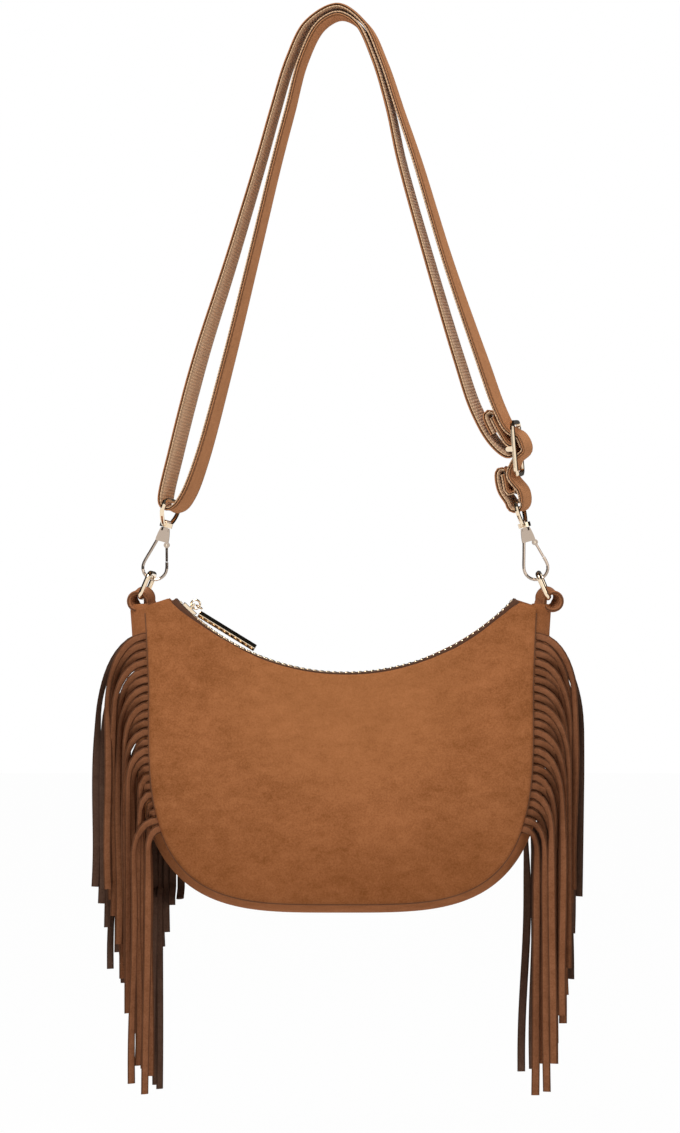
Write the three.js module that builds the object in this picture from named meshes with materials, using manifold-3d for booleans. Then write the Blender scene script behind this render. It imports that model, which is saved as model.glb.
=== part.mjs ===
// A crescent shoulder bag in suede: two panels and a gusset, fringe sewn into its four side seams,
// a zip along the hollow top edge, and a long adjustable strap on two swivel snap hooks.
// Millimetres. +X is to the right of the front, the front faces -Y, +Z is up.
// The origin is the underside of the strap at its crest, where a shoulder or a peg carries the bag.

import * as THREE from "three";
import { mergeVertices } from "three/addons/utils/BufferGeometryUtils.js";
import Module from "manifold-3d";

const wasm = await Module();
wasm.setup();
const rad = THREE.MathUtils.degToRad;
const { lerp, clamp, smoothstep } = THREE.MathUtils;
const at = (x, y, z) => new THREE.Vector3(x, y, z);

// Clearance between pieces that touch
const GAP = 0.3;

// Bag body
const BAG_CENTRE_X = 3.2;
const MOUTH_DROP = 392;
const MOUTH_RADIUS = 138;
const MOUTH_HALF_ANGLE = rad(47.5);
const MOUTH_HALF_DEPTH = 13;
const SHOULDER_DROP = 4.5;
const PANEL_WIDTH = 227;
const PANEL_BELOW_MOUTH = 135.5;
const WIDEST_BELOW_MOUTH = 8;
const CORNER_FLARE = 2.2;
const BOTTOM_ROUNDNESS = 3.7;
const SEAM_HALF_DEPTH = 30;
const DEPTH_RUN = 110;
const BELLY_SWELL = 7;
const BELLY_RISE = 40;
const PANEL_THICKNESS = 2;
const GUSSET_THICKNESS = 2;
const GUSSET_BULGE = 10;
const GUSSET_DROP = 3;
const LINING_THICKNESS = 1.2;
const LINING_GAP = 1.3;
const LINING_INSET = 0.955;
const LINING_BELOW_EDGE = 8;

// Fringe
const STRIP_COUNT = 23;
const STRIP_PITCH = 5.2;
const STRIP_WIDTH = 4.7;
const STRIP_THICKNESS = 0.9;
const STRIP_LENGTH = 168;
const FRINGE_START = 15;
const FRINGE_BAND = 1.2;
const FRINGE_BAND_IN = 2.6;
const FRINGE_BAND_OUT = 1;
const FRINGE_REACH_TOP = 29;
const FRINGE_REACH_LOW = 5.5;
const FRINGE_ARCH = 1.9;
const FRINGE_STAGGER = 2.7;

// Zip
const TAPE_THICKNESS = 0.8;
const TAPE_HEM = 6;
const TEETH_HALF_WIDTH = 3;
const TOOTH_REACH = 1.4;
const TOOTH_HEIGHT = 2.4;
const TOOTH_PITCH = 4.4;
const TOOTH_LENGTH = 1.9;
const BEAD_WIDTH = 1.2;
const BEAD_HEIGHT = 1;
const SLIDER_ANGLE = rad(-43.2);
const SLIDER_LENGTH = 10;
const SLIDER_HALF_WIDTH = 4.4;
const SLIDER_PLATE = 1;
const DIVIDER_LENGTH = 3.4;
const DIVIDER_WIDTH = 2.4;
const BRIDGE_BAR_RADIUS = 0.6;
const PULL_RING_RADIUS = 2.7;
const PULL_RING_WIRE = 0.6;
const PULL_RING_OFFSET = 0.9;
const PULL_BAR_LENGTH = 40;
const PULL_BAR_WIDTH = 6;
const PULL_BAR_HEIGHT = 4;
const PULL_BAR_EDGE = 0.4;
const PULL_EYE_THICKNESS = 1.6;
const PULL_EYE_RADIUS = 2.4;
const PULL_EYE_HOLE = 1.1;
const PULL_BAR_LIFT = rad(6);
const STOP_LENGTH = 1.8;

// Tabs and rings
const TAB_WIDTH = 15;
const TAB_THICKNESS = 3;
const TAB_TUNNEL_RADIUS = 3.6;
const TAB_OUT = 6.8;
const TAB_TAIL = 24;
const RING_WIRE = 1.5;
const RING_HEIGHT = 15.6;
const RING_HALF_WIDTH = 10.5;
const RING_CORNER = 4;
const RING_LEAN = rad(23);
const RING_TURN = rad(6);
const RING_PLAY = 0.6;

// Snap hooks
const HOOK_WIRE = 1.1;
const HOOK_BOW_RADIUS = 7.2;
const HOOK_BOW_DROP = 24.8;
const HOOK_LEAN = rad(15);
const HOOK_PLAY = 0.8;
const HOOK_HEAD_HEIGHT = 8.6;
const HOOK_HEAD_TOP = 2.6;
const HOOK_HEAD_FOOT = 4;
const HOOK_HEAD_DEPTH = 4.2;
const HOOK_NOSE = 3.2;
const GATE_PIVOT_X = 3.4;
const GATE_PIVOT_DROP = 9.9;
const GATE_PIN_RADIUS = 0.6;
const GATE_WIRE = 0.95;
const GATE_EYE_RADIUS = 1.5;
const GATE_EYE_DEPTH = 2.1;
const CHEEK_RADIUS = 1.8;
const SLOT_RADIUS = 2.3;
const POST_RADIUS = 1.6;
const SHOULDER_RADIUS = 3;
const RIVET_RADIUS = 2.6;
const RIVET_HEIGHT = 1.4;
const EYE_WIRE = 1.35;
const EYE_BASE_RADIUS = 3.8;
const EYE_BASE_HEIGHT = 2.8;
const EYE_HEIGHT = 16;

// Strap and slide buckle
const STRAP_WIDTH = 25;
const LAYER_THICKNESS = 1.35;
const CREST_GAP = 2.7;
const STRAP_TWIST_LEFT = rad(16);
const STRAP_TWIST_CREST = rad(6);
const STRAP_TWIST_RIGHT = rad(11);
const TWIST_RUN = 88;
const BUCKLE_LENGTH = 31;
const BUCKLE_WIRE = 1.5;
const BUCKLE_CORNER = 4;
const BUCKLE_BAR_OFFSET = 3.6;
const BUCKLE_LEAN = rad(-4.6);
const BUCKLE_X = 106.3;
const BUCKLE_Z = -257;

// Values that follow from the sizes above
const MOUTH_Z = -MOUTH_DROP;
const ARC_CENTRE_Z = MOUTH_Z + MOUTH_RADIUS;
const PEAK_X = MOUTH_RADIUS * Math.sin(MOUTH_HALF_ANGLE);
const PEAK_Z = ARC_CENTRE_Z - MOUTH_RADIUS * Math.cos(MOUTH_HALF_ANGLE);
const HALF_WIDTH = PANEL_WIDTH / 2;
const CORNER_X = HALF_WIDTH + CORNER_FLARE;
const CORNER_Z = PEAK_Z - SHOULDER_DROP;
const WIDEST_Z = MOUTH_Z - WIDEST_BELOW_MOUTH;
const BOTTOM_HEIGHT = PANEL_BELOW_MOUTH - WIDEST_BELOW_MOUTH;
const MOUTH_INSIDE = MOUTH_HALF_DEPTH - PANEL_THICKNESS;
const STRAP_THICKNESS = 2 * LAYER_THICKNESS + GAP;
const EYE_HALF_WIDTH = STRAP_WIDTH / 2 + 2 * GAP + EYE_WIRE;

// Solids

function solid(positions, index) {
  let volume = 0;
  const corner = (i) => new THREE.Vector3().fromArray(positions, 3 * i);
  for (let i = 0; i < index.length; i += 3) {
    volume += corner(index[i]).dot(corner(index[i + 1]).cross(corner(index[i + 2])));
  }
  if (volume < 0) index.reverse();
  const geometry = new THREE.BufferGeometry();
  geometry.setAttribute("position", new THREE.Float32BufferAttribute(positions, 3));
  geometry.setIndex(index);
  geometry.computeVertexNormals();
  return geometry;
}

// Triangles that close one end of a loft, for a flat ring of any outline
function capFaces(ring, start, facesBack) {
  const normal = at(0, 0, 0);
  ring.forEach((p, i) => normal.add(p.clone().cross(ring[(i + 1) % ring.length])));
  normal.normalize();
  const across = ring[1].clone().sub(ring[0]).normalize();
  const up = normal.clone().cross(across);
  const flat = ring.map((p) => new THREE.Vector2(p.dot(across), p.dot(up)));
  const faces = [];
  for (const [a, b, c] of THREE.ShapeUtils.triangulateShape(flat, [])) {
    const turn = flat[b].clone().sub(flat[a]).cross(flat[c].clone().sub(flat[a]));
    const order = turn > 0 === facesBack ? [a, c, b] : [a, b, c];
    faces.push(...order.map((i) => start + i));
  }
  return faces;
}

// A skin through rings of points. A ring of one point is a pole.
// A closed loft joins its last ring to its first.
function loft(rings, closed = false) {
  const positions = rings.flat().flatMap((p) => [p.x, p.y, p.z]);
  const starts = rings.map((_, i) => rings.slice(0, i).reduce((sum, ring) => sum + ring.length, 0));
  const index = [];
  const spans = closed ? rings.length : rings.length - 1;
  for (let i = 0; i < spans; i++) {
    const k = (i + 1) % rings.length;
    const [a, b] = [starts[i], starts[k]];
    const [countA, countB] = [rings[i].length, rings[k].length];
    for (let j = 0; j < Math.max(countA, countB); j++) {
      const next = (j + 1) % Math.max(countA, countB);
      if (countA > 1) index.push(a + j, a + next, b + (countB > 1 ? next : 0));
      if (countB > 1) index.push(a + (countA > 1 ? j : 0), b + next, b + j);
    }
  }
  if (!closed) {
    const last = rings.length - 1;
    if (rings[0].length > 1) index.push(...capFaces(rings[0], starts[0], true));
    if (rings[last].length > 1) index.push(...capFaces(rings[last], starts[last], false));
  }
  return solid(positions, index);
}

function toManifold(geometry) {
  const bare = geometry.clone();
  bare.deleteAttribute("normal");
  bare.deleteAttribute("uv");
  const merged = mergeVertices(bare, 1e-4);
  const vertProperties = new Float32Array(merged.attributes.position.array);
  const triVerts = new Uint32Array(merged.index.array);
  return new wasm.Manifold(new wasm.Mesh({ numProp: 3, vertProperties, triVerts }));
}

function fromManifold(body) {
  const mesh = body.getMesh();
  const geometry = new THREE.BufferGeometry();
  geometry.setAttribute("position", new THREE.BufferAttribute(mesh.vertProperties, 3));
  geometry.setIndex(new THREE.BufferAttribute(mesh.triVerts, 1));
  geometry.computeVertexNormals();
  return geometry;
}

const joined = (...pieces) => fromManifold(pieces.map(toManifold).reduce((a, b) => a.add(b)));
const cut = (piece, ...tools) =>
  fromManifold(tools.map(toManifold).reduce((a, b) => a.subtract(b), toManifold(piece)));

// A box between two corners
function block(x0, x1, y0, y1, z0, z1) {
  const box = new THREE.BoxGeometry(x1 - x0, y1 - y0, z1 - z0);
  return box.translate((x0 + x1) / 2, (y0 + y1) / 2, (z0 + z1) / 2);
}

// A rod along Y, centred on the XZ point
function rodY(radius, length, x, z, sides = 14) {
  return new THREE.CylinderGeometry(radius, radius, length, sides).translate(x, 0, z);
}

// A plate whose outline lies in XZ, with its thickness centred on Y
function plateXZ(shape, thickness) {
  const settings = { depth: thickness, bevelEnabled: false, curveSegments: 10 };
  const plate = new THREE.ExtrudeGeometry(shape, settings);
  return plate.translate(0, 0, -thickness / 2).rotateX(Math.PI / 2);
}

// A round wire along an open curve
function wire(points, radius, steps, sides = 8) {
  const section = new THREE.Shape();
  section.absarc(0, 0, radius, 0, 2 * Math.PI);
  const extrudePath = new THREE.CatmullRomCurve3(points);
  const options = { steps, extrudePath, curveSegments: sides / 2, bevelEnabled: false };
  return new THREE.ExtrudeGeometry(section, options);
}

// A round wire bent into a flat loop with rounded corners, in the YZ plane
function wireLoop(halfWidth, halfHeight, corner, radius, sides = 8) {
  const rings = [];
  const corners = [[1, 1, 0], [-1, 1, 90], [-1, -1, 180], [1, -1, 270]];
  for (const [signY, signZ, startAngle] of corners) {
    for (const step of [0, 22.5, 45, 67.5, 90]) {
      const turn = rad(startAngle + step);
      const out = at(0, Math.cos(turn), Math.sin(turn));
      const middle = at(0, signY * (halfWidth - corner), signZ * (halfHeight - corner));
      middle.addScaledVector(out, corner);
      rings.push(Array.from({ length: sides }, (_, i) => {
        const around = (2 * Math.PI * i) / sides;
        const point = middle.clone().addScaledVector(out, radius * Math.cos(around));
        return point.add(at(radius * Math.sin(around), 0, 0));
      }));
    }
  }
  return loft(rings, true);
}

// Materials and the scene

function finish(color, roughness, metalness) {
  return () => new THREE.MeshStandardMaterial({ color, roughness, metalness });
}
const suede = finish(0x985e39, 0.95, 0);
const darkSuede = finish(0x6b4330, 0.95, 0);
const webbing = finish(0x8a6b50, 0.9, 0);
const liningCloth = finish(0x5a4636, 0.85, 0);
const tapeCloth = finish(0x4a3324, 0.85, 0);
const gold = finish(0xe2c08a, 0.25, 1);

const model = new THREE.Group();
const bag = new THREE.Group();
bag.position.x = BAG_CENTRE_X;
model.add(bag);

function addPiece(parent, name, geometry, material) {
  const mesh = new THREE.Mesh(geometry, material());
  mesh.name = name;
  parent.add(mesh);
  return mesh;
}

// The seam line that a panel and the gusset share, from the left corner round the bottom to the right corner

class SeamLine extends THREE.Curve {
  getPoint(t, target = new THREE.Vector3()) {
    const sideShare = 0.12;
    if (t < sideShare) return target.copy(this.sidePoint(t / sideShare, -1));
    if (t > 1 - sideShare) return target.copy(this.sidePoint((1 - t) / sideShare, 1));
    const angle = Math.PI * (1 + (t - sideShare) / (1 - 2 * sideShare));
    const across = Math.abs(Math.cos(angle) / HALF_WIDTH) ** BOTTOM_ROUNDNESS;
    const down = Math.abs(Math.sin(angle) / BOTTOM_HEIGHT) ** BOTTOM_ROUNDNESS;
    const reach = (across + down) ** (-1 / BOTTOM_ROUNDNESS);
    return target.set(reach * Math.cos(angle), 0, WIDEST_Z + reach * Math.sin(angle));
  }

  sidePoint(share, side) {
    return at(side * lerp(CORNER_X, HALF_WIDTH, share), 0, lerp(CORNER_Z, WIDEST_Z, share));
  }
}
const seam = new SeamLine();
seam.arcLengthDivisions = 800;
const SEAM_LENGTH = seam.getLength();

const seamPoint = (along) => seam.getPointAt(along / SEAM_LENGTH);
const seamOutward = (along) => {
  const tangent = seam.getTangentAt(clamp(along / SEAM_LENGTH, 0.001, 0.999));
  return at(tangent.z, 0, -tangent.x);
};
const rimDepth = (below) => lerp(MOUTH_HALF_DEPTH, SEAM_HALF_DEPTH, smoothstep(below, 0, DEPTH_RUN));
const seamDepth = (z) => rimDepth(CORNER_Z - z);

// Panels and lining share one pillowed form, laid out as rings of the outline about the middle of the panel

const PANEL_MIDDLE = at(0, 0, MOUTH_Z - PANEL_BELOW_MOUTH * 0.62);

function panelOutline() {
  const [seamSteps, mouthSteps] = [34, 18];
  const outline = seam.getSpacedPoints(seamSteps);
  for (let i = 0; i <= mouthSteps; i++) {
    const angle = lerp(MOUTH_HALF_ANGLE, -MOUTH_HALF_ANGLE, i / mouthSteps);
    const z = ARC_CENTRE_Z - MOUTH_RADIUS * Math.cos(angle);
    outline.push(at(MOUTH_RADIUS * Math.sin(angle), 0, z));
  }
  return outline;
}

// Height of the top edge at a distance from the bag's middle
function topEdge(x) {
  const away = Math.min(Math.abs(x), CORNER_X);
  if (away < PEAK_X) return ARC_CENTRE_Z - Math.sqrt(MOUTH_RADIUS ** 2 - away ** 2);
  return lerp(PEAK_Z, CORNER_Z, (away - PEAK_X) / (CORNER_X - PEAK_X));
}

// Half depth of the bag's outside: thin at the mouth, wider down to the seam, with a soft belly
function panelDepth(x, z) {
  const below = Math.max(0, topEdge(x) - z);
  const across = Math.abs(x / HALF_WIDTH) ** BOTTOM_ROUNDNESS;
  const down = Math.abs(Math.min(0, z - WIDEST_Z) / BOTTOM_HEIGHT) ** BOTTOM_ROUNDNESS;
  const inside = clamp(1 - across - down, 0, 1);
  return rimDepth(below) + BELLY_SWELL * inside ** 0.6 * (1 - Math.exp(-below / BELLY_RISE));
}

function pillowRing(outline, share, side, inward) {
  return outline.map((point) => {
    const ringPoint = PANEL_MIDDLE.clone().lerp(point, share);
    return ringPoint.setY(side * (panelDepth(ringPoint.x, ringPoint.z) - inward));
  });
}

const pillowPole = (side, inward) =>
  [PANEL_MIDDLE.clone().setY(side * (panelDepth(PANEL_MIDDLE.x, PANEL_MIDDLE.z) - inward))];
const PILLOW_SHARES = [0.45, 0.8, LINING_INSET, 1];

function panel(side) {
  const outline = panelOutline();
  const outer = PILLOW_SHARES.map((share) => pillowRing(outline, share, side, 0));
  const inner = PILLOW_SHARES.map((share) => pillowRing(outline, share, side, PANEL_THICKNESS));
  return loft([pillowPole(side, 0), ...outer, ...inner.reverse(), pillowPole(side, PANEL_THICKNESS)]);
}

function liningBag(inward, inset) {
  const outline = panelOutline();
  const shares = PILLOW_SHARES.slice(0, -1).map((share) => Math.min(share, inset));
  const front = shares.map((share) => pillowRing(outline, share, -1, inward));
  const back = shares.map((share) => pillowRing(outline, share, 1, inward));
  return loft([pillowPole(-1, inward), ...front, ...back.reverse(), pillowPole(1, inward)]);
}

function lining() {
  const outside = PANEL_THICKNESS + LINING_GAP;
  const wallShare = LINING_THICKNESS / HALF_WIDTH;
  const outer = liningBag(outside, LINING_INSET);
  const inner = liningBag(outside + LINING_THICKNESS, LINING_INSET - wallShare);
  const mouth = rodY(MOUTH_RADIUS + LINING_BELOW_EDGE, 4 * SEAM_HALF_DEPTH, 0, ARC_CENTRE_Z, 96);
  return cut(outer, inner, mouth);
}

addPiece(bag, "front_panel", panel(-1), suede);
addPiece(bag, "back_panel", panel(1), suede);
addPiece(bag, "lining", lining(), liningCloth);

// Gusset: one strip round the sides and bottom, narrower by the band where the fringe is sewn in

const FRINGE_END = FRINGE_START + STRIP_COUNT * STRIP_PITCH;
const inFringe = (along) => {
  const fromCorner = Math.min(along, SEAM_LENGTH - along);
  return fromCorner > FRINGE_START - GAP && fromCorner < FRINGE_END + GAP;
};
const seamFace = (along) => seamDepth(seamPoint(along).z) - PANEL_THICKNESS - GAP;
const gussetHalfWidth = (along) => seamFace(along) - (inFringe(along) ? FRINGE_BAND + 3 * GAP : 0);
const gussetBulge = (along, y) => GUSSET_BULGE * (1 - (y / gussetHalfWidth(along)) ** 2);

function gusset() {
  const stations = [];
  const steps = 44;
  for (let i = 0; i <= steps; i++) {
    stations.push(lerp(GUSSET_DROP, SEAM_LENGTH - GUSSET_DROP, i / steps));
  }
  for (const end of [FRINGE_START - GAP, FRINGE_END + GAP]) {
    for (const shift of [-0.05, 0.05]) stations.push(end + shift, SEAM_LENGTH - end - shift);
  }
  stations.sort((a, b) => a - b);
  const shares = [-1, -0.7, -0.35, 0, 0.35, 0.7, 1];
  return loft(stations.map((along) => {
    const [point, out, half] = [seamPoint(along), seamOutward(along), gussetHalfWidth(along)];
    const across = (share, inward) => {
      const offset = gussetBulge(along, share * half) - inward;
      return point.clone().addScaledVector(out, offset).setY(share * half);
    };
    const inner = shares.map((share) => across(share, GUSSET_THICKNESS));
    return [...shares.map((share) => across(share, 0)), ...inner.reverse()];
  }));
}
addPiece(bag, "gusset", gusset(), suede);

// Fringe: a band in the seam and strips that leave it flat, turn over, arch outwards and hang

function ribbon(stations) {
  return loft(stations.map(({ middle, width, normal }) => {
    const side = width.clone().multiplyScalar(STRIP_WIDTH / 2);
    const face = normal.clone().multiplyScalar(STRIP_THICKNESS / 2);
    return [[-1, -1], [1, -1], [1, 1], [-1, 1]].map(([s, f]) =>
      middle.clone().addScaledVector(side, s).addScaledVector(face, f));
  }));
}

function fringeStrip(side, face, i) {
  const fromCorner = FRINGE_START + (i + 0.5) * STRIP_PITCH;
  const along = side < 0 ? fromCorner : SEAM_LENGTH - fromCorner;
  const [root, out] = [seamPoint(along), seamOutward(along)];
  const y = face * (seamFace(along) - GAP - FRINGE_BAND / 2);
  const reach = lerp(FRINGE_REACH_TOP, FRINGE_REACH_LOW, i / (STRIP_COUNT - 1));
  const drop = reach * FRINGE_ARCH;
  const stagger = (i % 2 ? 1 : -1) * FRINGE_STAGGER;
  const seamWise = at(-out.z, 0, out.x);
  const start = root.clone().addScaledVector(out, FRINGE_BAND_OUT + GAP).setY(y);
  const inBand = root.clone().addScaledVector(out, -FRINGE_BAND_OUT).setY(y);
  const depthWise = at(0, 1, 0);
  const stations = [inBand, start].map((middle) => ({ middle, width: seamWise, normal: depthWise }));
  for (const share of [0.45, 1]) {
    const angle = (share * Math.PI) / 2;
    const shift = at(side * reach * Math.sin(angle), stagger * share, -drop * (1 - Math.cos(angle)));
    const turn = Math.min(1, share / 0.8) * (Math.PI / 2);
    const tangent = at(side * reach * Math.cos(angle), 0, -drop * Math.sin(angle)).normalize();
    const flatWise = depthWise.clone().cross(tangent).multiplyScalar(Math.sign(seamWise.z) * side);
    const width = flatWise.clone().multiplyScalar(Math.cos(turn)).addScaledVector(depthWise, Math.sin(turn));
    stations.push({ middle: start.clone().add(shift), width, normal: width.clone().cross(tangent) });
  }
  const arch = stations.slice(2).reduce((sum, s, k) => sum + s.middle.distanceTo(stations[k + 1].middle), 0);
  const last = stations[stations.length - 1];
  const tip = last.middle.clone().add(at(0, 0, arch + FRINGE_BAND_OUT - STRIP_LENGTH));
  stations.push({ middle: tip, width: last.width, normal: last.normal });
  return ribbon(stations);
}

function fringe(side, face) {
  const bandStations = [];
  const steps = 14;
  for (let i = 0; i <= steps; i++) {
    const fromCorner = lerp(FRINGE_START, FRINGE_END, i / steps);
    bandStations.push(side < 0 ? fromCorner : SEAM_LENGTH - fromCorner);
  }
  const band = loft(bandStations.map((along) => {
    const [point, out] = [seamPoint(along), seamOutward(along)];
    const outer = face * (seamFace(along) - GAP);
    const inner = outer - face * FRINGE_BAND;
    const corner = (offset, y) => point.clone().addScaledVector(out, offset).setY(y);
    return [
      corner(-FRINGE_BAND_IN, outer), corner(FRINGE_BAND_OUT, outer),
      corner(FRINGE_BAND_OUT, inner), corner(-FRINGE_BAND_IN, inner),
    ];
  }));
  const strips = Array.from({ length: STRIP_COUNT }, (_, i) => fringeStrip(side, face, i));
  return joined(band, ...strips);
}

for (const [sideName, side] of [["left", -1], ["right", 1]]) {
  addPiece(bag, `${sideName}_front_fringe`, fringe(side, -1), suede);
  addPiece(bag, `${sideName}_back_fringe`, fringe(side, 1), darkSuede);
}

// Zip: tapes, teeth and stops follow the mouth's arc

const arcPoint = (angle, y, above) => {
  const radius = MOUTH_RADIUS - above;
  return at(radius * Math.sin(angle), y, ARC_CENTRE_Z - radius * Math.cos(angle));
};

function zipTape(side) {
  const sewnEdge = MOUTH_INSIDE - GAP;
  const freeEdge = TEETH_HALF_WIDTH + GAP;
  const half = TAPE_THICKNESS / 2;
  const profile = [
    [sewnEdge, half], [freeEdge, half], [freeEdge, -half],
    [sewnEdge - TAPE_THICKNESS, -half], [sewnEdge - TAPE_THICKNESS, -TAPE_HEM], [sewnEdge, -TAPE_HEM],
  ];
  const steps = 30;
  return loft(Array.from({ length: steps + 1 }, (_, i) => {
    const angle = lerp(-MOUTH_HALF_ANGLE, MOUTH_HALF_ANGLE, i / steps);
    return profile.map(([y, above]) => arcPoint(angle, side * y, above));
  }));
}

const TOOTH_STEP = TOOTH_PITCH / MOUTH_RADIUS;
const STOP_ANGLE = STOP_LENGTH / MOUTH_RADIUS;
const TEETH_END = MOUTH_HALF_ANGLE - 3 * STOP_ANGLE;

// A block that follows the arc between two angles
function arcBlock(from, to, y0, y1, below, above) {
  return loft([from, to].map((angle) => [
    arcPoint(angle, y0, below),
    arcPoint(angle, y1, below),
    arcPoint(angle, y1, above),
    arcPoint(angle, y0, above),
  ]));
}

function zipTeeth(side) {
  const count = Math.floor((TEETH_END - SLIDER_ANGLE) / TOOTH_STEP);
  const outer = side * TEETH_HALF_WIDTH;
  const beadSteps = 20;
  const bead = loft(Array.from({ length: beadSteps + 1 }, (_, i) => {
    const angle = lerp(SLIDER_ANGLE + TOOTH_STEP / 4, SLIDER_ANGLE + count * TOOTH_STEP, i / beadSteps);
    const inner = outer - side * BEAD_WIDTH;
    const half = BEAD_HEIGHT / 2;
    return [
      arcPoint(angle, outer, -half), arcPoint(angle, inner, -half),
      arcPoint(angle, inner, half), arcPoint(angle, outer, half),
    ];
  }));
  const toothAngle = TOOTH_LENGTH / MOUTH_RADIUS;
  const teeth = Array.from({ length: count }, (_, i) => {
    const from = SLIDER_ANGLE + (i + (side < 0 ? 0 : 0.5)) * TOOTH_STEP;
    const half = TOOTH_HEIGHT / 2;
    return arcBlock(from, from + toothAngle, outer, -side * TOOTH_REACH, -half, half);
  });
  return joined(bead, ...teeth);
}

function zipStop(from, y0, y1) {
  return arcBlock(from, from + STOP_ANGLE, y0, y1, -TOOTH_HEIGHT / 2, TOOTH_HEIGHT / 2);
}

addPiece(bag, "front_zip_tape", zipTape(-1), tapeCloth);
addPiece(bag, "back_zip_tape", zipTape(1), tapeCloth);
addPiece(bag, "front_zip_teeth", zipTeeth(-1), gold);
addPiece(bag, "back_zip_teeth", zipTeeth(1), gold);
const topStopAngle = SLIDER_ANGLE - (SLIDER_LENGTH / 2 + 2 * GAP) / MOUTH_RADIUS - STOP_ANGLE;
addPiece(bag, "front_top_stop", zipStop(topStopAngle, -TEETH_HALF_WIDTH, -GAP), gold);
addPiece(bag, "back_top_stop", zipStop(topStopAngle, GAP, TEETH_HALF_WIDTH), gold);
const bottomStopAngle = MOUTH_HALF_ANGLE - 2 * STOP_ANGLE;
addPiece(bag, "bottom_stop", zipStop(bottomStopAngle, -TEETH_HALF_WIDTH, TEETH_HALF_WIDTH), gold);

// Zip ends: folded suede that closes the mouth between the peaks and the gusset

function zipEnd(side) {
  const [from, to] = [PEAK_X + 2 * GAP, CORNER_X - TAB_THICKNESS - 2 * GAP];
  const slope = SHOULDER_DROP / (CORNER_X - PEAK_X);
  const edge = (x) => PEAK_Z - slope * (x - PEAK_X) - GAP;
  const shape = new THREE.Shape();
  shape.moveTo(side * from, edge(from));
  shape.lineTo(side * to, edge(to));
  shape.lineTo(side * to, edge(to) - LINING_THICKNESS);
  shape.lineTo(side * from, edge(from) - LINING_THICKNESS);
  return plateXZ(shape, 2 * (MOUTH_INSIDE - TAPE_THICKNESS - 2 * GAP));
}
addPiece(bag, "left_zip_end", zipEnd(-1), suede);
addPiece(bag, "right_zip_end", zipEnd(1), suede);

// Zip slider, in a frame with X along the zip, Z away from the bag and its origin on the mouth's arc

const sliderFrame = new THREE.Group();
sliderFrame.position.copy(arcPoint(SLIDER_ANGLE, 0, 0));
sliderFrame.rotation.y = -SLIDER_ANGLE;
bag.add(sliderFrame);

const PLATE_FOOT = TOOTH_HEIGHT / 2 + GAP;
const PLATE_TOP = PLATE_FOOT + SLIDER_PLATE;
const PULL_RING_OUTER = PULL_RING_RADIUS + PULL_RING_WIRE;
const RING_RISE = PULL_RING_OFFSET * Math.SQRT1_2;
const BRIDGE_HEIGHT = PLATE_TOP + GAP + PULL_RING_OUTER - RING_RISE;

function sliderPlate(foot) {
  const end = SLIDER_LENGTH / 2;
  const waist = SLIDER_HALF_WIDTH - 0.7;
  const outline = new THREE.Shape();
  outline.moveTo(-end + 1, -SLIDER_HALF_WIDTH);
  outline.quadraticCurveTo(end * 0.3, -SLIDER_HALF_WIDTH, end - 1, -waist);
  outline.quadraticCurveTo(end, -waist, end, -waist + 1);
  outline.lineTo(end, waist - 1);
  outline.quadraticCurveTo(end, waist, end - 1, waist);
  outline.quadraticCurveTo(end * 0.3, SLIDER_HALF_WIDTH, -end + 1, SLIDER_HALF_WIDTH);
  outline.quadraticCurveTo(-end, SLIDER_HALF_WIDTH, -end, SLIDER_HALF_WIDTH - 1);
  outline.lineTo(-end, -SLIDER_HALF_WIDTH + 1);
  outline.quadraticCurveTo(-end, -SLIDER_HALF_WIDTH, -end + 1, -SLIDER_HALF_WIDTH);
  const settings = { depth: SLIDER_PLATE, bevelEnabled: false, curveSegments: 5 };
  const plate = new THREE.ExtrudeGeometry(outline, settings);
  return plate.translate(0, 0, foot);
}

function zipSlider() {
  const end = SLIDER_LENGTH / 2;
  const railTop = PLATE_FOOT + SLIDER_PLATE / 2;
  const railFoot = TAPE_THICKNESS / 2 + GAP;
  const railInside = TEETH_HALF_WIDTH + GAP;
  const rails = [];
  for (const y of [-1, 1]) {
    const [y0, y1] = y < 0 ? [-SLIDER_HALF_WIDTH + 0.8, -railInside] : [railInside, SLIDER_HALF_WIDTH - 0.8];
    rails.push(block(-end + 0.5, end - 1, y0, y1, railFoot, railTop));
    rails.push(block(-end + 0.5, end - 1, y0, y1, -railTop, -railFoot));
  }
  const wedge = new THREE.Shape();
  wedge.moveTo(-end + 0.2, -DIVIDER_WIDTH / 2);
  wedge.lineTo(-end + 0.2 + DIVIDER_LENGTH, 0);
  wedge.lineTo(-end + 0.2, DIVIDER_WIDTH / 2);
  const divider = new THREE.ExtrudeGeometry(wedge, { depth: 2 * railTop, bevelEnabled: false });
  divider.translate(0, 0, -railTop);
  const postY = SLIDER_HALF_WIDTH - 1.5;
  const post = new THREE.CylinderGeometry(0.8, 0.9, BRIDGE_HEIGHT - PLATE_FOOT, 10);
  post.rotateX(Math.PI / 2).translate(0, 0, (BRIDGE_HEIGHT + PLATE_FOOT) / 2);
  const bridge = rodY(BRIDGE_BAR_RADIUS, 2 * postY + 1.4, 0, BRIDGE_HEIGHT, 10);
  const posts = [-postY, postY].map((y) => post.clone().translate(0, y, 0));
  return joined(sliderPlate(PLATE_FOOT), sliderPlate(-PLATE_TOP), ...rails, divider, ...posts, bridge);
}
addPiece(sliderFrame, "zip_slider", zipSlider(), gold);

// Puller: a ring through the bridge and a bar through the ring

const pullRingCentre = at(RING_RISE, 0, BRIDGE_HEIGHT + RING_RISE);
const pullRing = new THREE.TorusGeometry(PULL_RING_RADIUS, PULL_RING_WIRE, 8, 20).rotateX(Math.PI / 2);
addPiece(sliderFrame, "puller_ring", pullRing, gold).position.copy(pullRingCentre);

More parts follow.
